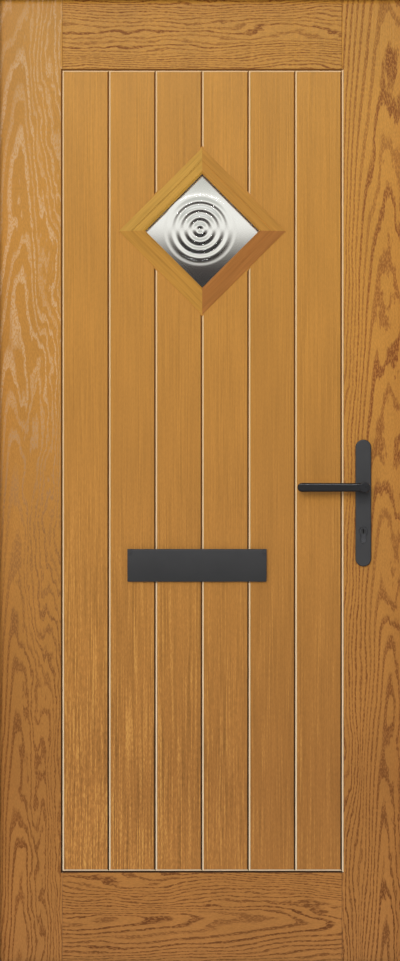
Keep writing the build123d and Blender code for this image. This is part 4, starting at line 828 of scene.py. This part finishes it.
# %% [markdown]
# ## The bullseye pane
#
# The rings of a bullseye come from a mould with a round wave in it. The model has them too, but
# with few faces, and glass shows every facet, because it bends the light at each one. So a
# finer pane stands in for it. Its front is a grid of points of which each is lifted by the
# wave at its distance from the centre. A grid is simple, and at 1 mm it is fine enough. Past
# the last ring one low wave more runs out to the flat glass.

# %% The pane's numbers, in millimetres
PANE_HALF = 93.8
PANE_THICKNESS = 4.0
PANE_STEPS = 188
RING_CENTRE = (-4.5, 1563.6)
RING_PITCH = 17.3
RING_RISE = 2.5
LAST_RING = 60.5
OUTER_RISE = 0.9
pane_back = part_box("bullseye_pane")[1].y
front = pane_back - PANE_THICKNESS / MM
print("pane front at", round(front * MM, 2), "mm, grid", round(2 * PANE_HALF / PANE_STEPS, 2), "mm")


def wave(distance):
    """How far the glass stands proud at that distance from the rings' centre, in millimetres."""
    if distance < LAST_RING:
        return RING_RISE * (0.5 + 0.5 * math.cos(2 * math.pi * distance / RING_PITCH))
    beyond = distance - LAST_RING
    if beyond < RING_PITCH:
        return OUTER_RISE * (0.5 - 0.5 * math.cos(2 * math.pi * beyond / RING_PITCH))
    return 0.0


# %% [markdown]
# ## Building the pane
#
# The grid's rows run along the pane's edges, so they are turned by 45 degrees. A skirt of narrow
# faces joins the grid's rim to the back, and one large face closes it, because light only bends
# rightly in a closed body.


# %% Build the pane
def pane_point(shape, i, j):
    """A point of the pane's front, by its row and column in the grid."""
    a = PANE_HALF * (2 * i / PANE_STEPS - 1)
    b = PANE_HALF * (2 * j / PANE_STEPS - 1)
    x = (a - b) / math.sqrt(2)
    z = (a + b) / math.sqrt(2) + DIAMOND_CENTRE
    rise = wave(math.hypot(x - RING_CENTRE[0], z - RING_CENTRE[1]))
    return shape.verts.new((x / MM, front - rise / MM, z / MM))


def bullseye():
    """A square pane on its corner, with rings on its front."""
    mesh = bpy.data.meshes.new("bullseye_glass")
    shape = bmesh.new()
    count = range(PANE_STEPS + 1)
    rows = [[pane_point(shape, i, j) for j in count] for i in count]
    for row, above in zip(rows, rows[1:]):
        for j in range(PANE_STEPS):
            face = shape.faces.new((row[j], row[j + 1], above[j + 1], above[j]))
            face.smooth = True
    rim = rows[0] + [r[-1] for r in rows[1:]] + rows[-1][-2::-1] + [r[0] for r in rows[-2:0:-1]]
    back = [shape.verts.new((v.co.x, pane_back, v.co.z)) for v in rim]
    for k in range(len(rim)):
        n = (k + 1) % len(rim)
        shape.faces.new((rim[k], rim[n], back[n], back[k]))
    shape.faces.new(back)
    bmesh.ops.recalc_face_normals(shape, faces=shape.faces)
    shape.to_mesh(mesh)
    shape.free()
    made = bpy.data.objects.new("bullseye_glass", mesh)
    made.data.materials.append(cast_glass)
    bpy.context.scene.collection.objects.link(made)
    return made


pane = bullseye()
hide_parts("bullseye_pane")
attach(pane, "leaf")
print("pane faces:", len(pane.data.polygons))

# %% [markdown]
# ## Floor
#
# The door stands on a pale floor that keeps its shadow. The lamps light only the part near the
# door, so further away the floor fades to the same white as the world. That white is full only
# for what the camera sees, directly or in mirrors and through glass. As light on the
# door it is dimmer, so that the lamps decide how bright the door is.

# %% A stage piece and its white
DIM = 0.36
PAINTED = 1300.0
WHITE = 3200.0
REACH = 60.0
SQUARE = ((-1, -1), (1, -1), (1, 1), (-1, 1))


def stage_piece(name, corners, material):
    """A flat four-cornered stage piece."""
    mesh = bpy.data.meshes.new(name)
    mesh.from_pydata(corners, [], [(0, 1, 2, 3)])
    made = bpy.data.objects.new(name, mesh)
    made.data.materials.append(material)
    bpy.context.scene.collection.objects.link(made)
    return made


def white_where_seen(tree):
    """1 for what the camera sees, in mirrors and through glass too, and dimmer as light."""
    path = add(tree, "LightPath")
    mirrored = add(tree, "Math", (
        path.outputs["Is Glossy Ray"], path.outputs["Is Transmission Ray"],
    ), operation="MAXIMUM")
    seen = add(tree, "Math", (path.outputs["Is Camera Ray"], mirrored), operation="MAXIMUM")
    return add(tree, "Mix", {0: seen, 2: DIM, 3: 1.0})


# %% [markdown]
# ## Floor paint
#
# The floor is smooth concrete under matt paint. Its faint clouds are 0.7 m wide, as a roller
# leaves them. The paint gives way to white in a soft step, so that no edge shows.


# %% The painted floor
def painted_floor():
    """Pale matt floor paint with faint clouds, which fades to white away from the door."""
    material, tree, place = begin("pale_floor_paint")
    clouds = blots(tree, place, (700, 700, 700), 1.0, 3.0)
    colour = add(tree, "ValToRGB", {0: clouds}, ((0.3, "DEDCD8"), (0.7, "E6E4E0")))
    paint = add(tree, "BsdfPrincipled", {
        "Base Color": colour, "Roughness": 0.8, "Specular IOR Level": 0.1,
    })
    white = add(tree, "Emission", {"Strength": white_where_seen(tree)})
    distance = add(tree, "VectorMath", (place,), operation="LENGTH").outputs["Value"]
    share = add(tree, "MapRange", {
        0: distance, 1: PAINTED, 2: WHITE,
    }, interpolation_type="SMOOTHSTEP")
    mixed = add(tree, "MixShader", (share, paint, white))
    add(tree, "OutputMaterial", {"Surface": mixed})
    return material


stage_piece("floor", [(x * REACH, y * REACH, 0) for x, y in SQUARE], painted_floor())
print("the floor is painted as far as", PAINTED / MM, "m from the door")

# %% [markdown]
# ## The card behind the glass
#
# Behind the glass hangs a card that only the light passing through the glass can see. It stands
# for the hall behind the door, bright above and dark below, and the rings bend its light into
# their bright and dark arcs. Without it the glass would show an even white, and the rings would
# vanish. The camera looks slightly up at the glass, so what it sees straight through the middle
# of the glass lies a little higher behind it, and the card hangs there.

# %% The card, in metres
CAMERA_BACK = 5.6
CAMERA_HEIGHT = 1.036
CARD_BACK = 0.75
CARD_HALF = 0.9
GLASS_HEIGHT = DIAMOND_CENTRE / MM
CARD_CENTRE = GLASS_HEIGHT + (GLASS_HEIGHT - CAMERA_HEIGHT) * CARD_BACK / CAMERA_BACK
CARD_TONES = (
    (0.0, "0C0908"), (0.43, "120D0A"), (0.45, "2E2621"), (0.468, "66625C"), (0.484, "A09D97"),
    (0.497, "D2D0CA"), (0.509, "E8E7E1"), (0.54, "E4E3DD"), (0.565, "BDBDB5"), (0.58, "B9BBB6"),
    (0.62, "E2E2DE"), (1.0, "FFFFFF"),
)


def hall_light():
    """The light of the hall behind the door, by height."""
    material, tree, place = begin("hall_light")
    height = add(tree, "SeparateXYZ", (place,)).outputs["Z"]
    low, high = (CARD_CENTRE - CARD_HALF) * MM, (CARD_CENTRE + CARD_HALF) * MM
    share = add(tree, "MapRange", {0: height, 1: low, 2: high})
    tone = add(tree, "ValToRGB", {0: share}, CARD_TONES)
    glow = add(tree, "Emission", {"Color": tone, "Strength": 1.1})
    add(tree, "OutputMaterial", {"Surface": glow})
    return material


card_corners = [(x * CARD_HALF, CARD_BACK, CARD_CENTRE + z * CARD_HALF) for x, z in SQUARE]
card = stage_piece("hall_card", card_corners, hall_light())
card.visible_camera = False
card.visible_diffuse = False
card.visible_glossy = False
card.visible_shadow = False
print("the camera sees the card behind the glass at a height of", round(CARD_CENTRE, 3))

# %% [markdown]
# ## Light
#
# The picture is lit softly from the upper left, as from a large window there. An even pale
# world fills the shadows, and a large lamp adds the direction. Together they light a white
# wall to about white, so that a colour renders as it is written. The back has the same lamp,
# and the two sides have weaker ones, so that the door looks alike from all round and when it
# stands open. A strip lamp in front and one behind only show in gloss, as a line of light
# along the lever.

# %% World and lamps
AIM = (0.0, 0.0, 1.1)
WINDOW = (2.4, 2.0)
STRIP = (2.6, 0.4)


def studio_world():
    """An even pale light, seen as white by the camera, in mirrors and through glass."""
    world = bpy.data.worlds.new("studio")
    world.use_nodes = True
    tree = world.node_tree
    tree.nodes.clear()
    light = add(tree, "Background", {"Color": (1, 1, 1, 1), "Strength": white_where_seen(tree)})
    add(tree, "OutputWorld", {"Surface": light})
    bpy.context.scene.world = world


def soft_lamp(name, place, target, size, power, shiny=False):
    """An area lamp aimed at a point. It lights surfaces, or if shiny only shows in their gloss."""
    lamp = bpy.data.lights.new(name, "AREA")
    lamp.shape = "RECTANGLE"
    lamp.size, lamp.size_y = size
    lamp.energy = power
    made = bpy.data.objects.new(name, lamp)
    made.location = place
    made.rotation_euler = (Vector(target) - Vector(place)).to_track_quat("-Z", "Y").to_euler()
    made.visible_camera = False
    made.visible_glossy = shiny
    made.visible_diffuse = not shiny
    made.visible_transmission = False
    bpy.context.scene.collection.objects.link(made)


studio_world()
soft_lamp("front_window", (-0.9, -6.2, 2.5), AIM, WINDOW, 224)
soft_lamp("back_window", (0.9, 6.2, 2.5), AIM, WINDOW, 224)
soft_lamp("left_window", (-6.2, 0.0, 2.5), AIM, WINDOW, 130)
soft_lamp("right_window", (6.2, 0.0, 2.5), AIM, WINDOW, 130)
soft_lamp("front_strip", (-0.5, -3.2, 3.0), (0.1, 0.0, 1.0), STRIP, 130, shiny=True)
soft_lamp("back_strip", (0.5, 3.2, 3.0), (-0.1, 0.0, 1.0), STRIP, 130, shiny=True)
print("lamps:", sorted(lamp.name for lamp in bpy.data.lights))

# %% [markdown]
# ## Camera
#
# The photograph looks squarely at the door, so the camera stands level in front of it, at the
# height of the picture's middle. The picture is taller than it is wide, and its height covers
# 2.018 m of the door's face. From 5.6 m, that takes a lens of 100 mm on a 36 mm tall frame.

# %% Camera
SENSOR = 36
VIEW_HEIGHT = 2.018
CAMERA_SIDE = -0.0047
DOOR_FACE = -0.009
camera_data = bpy.data.cameras.new("camera")
camera_data.sensor_fit = "VERTICAL"
camera_data.sensor_height = SENSOR
camera_data.sensor_width = SENSOR
camera_data.lens = SENSOR * CAMERA_BACK / VIEW_HEIGHT
camera = bpy.data.objects.new("camera", camera_data)
camera.location = (CAMERA_SIDE, DOOR_FACE - CAMERA_BACK, CAMERA_HEIGHT)
camera.rotation_euler = (math.radians(90), 0, 0)
bpy.context.scene.collection.objects.link(camera)
bpy.context.scene.camera = camera
bpy.context.scene.view_settings.view_transform = "Standard"
print("lens:", round(camera_data.lens, 1), "mm")
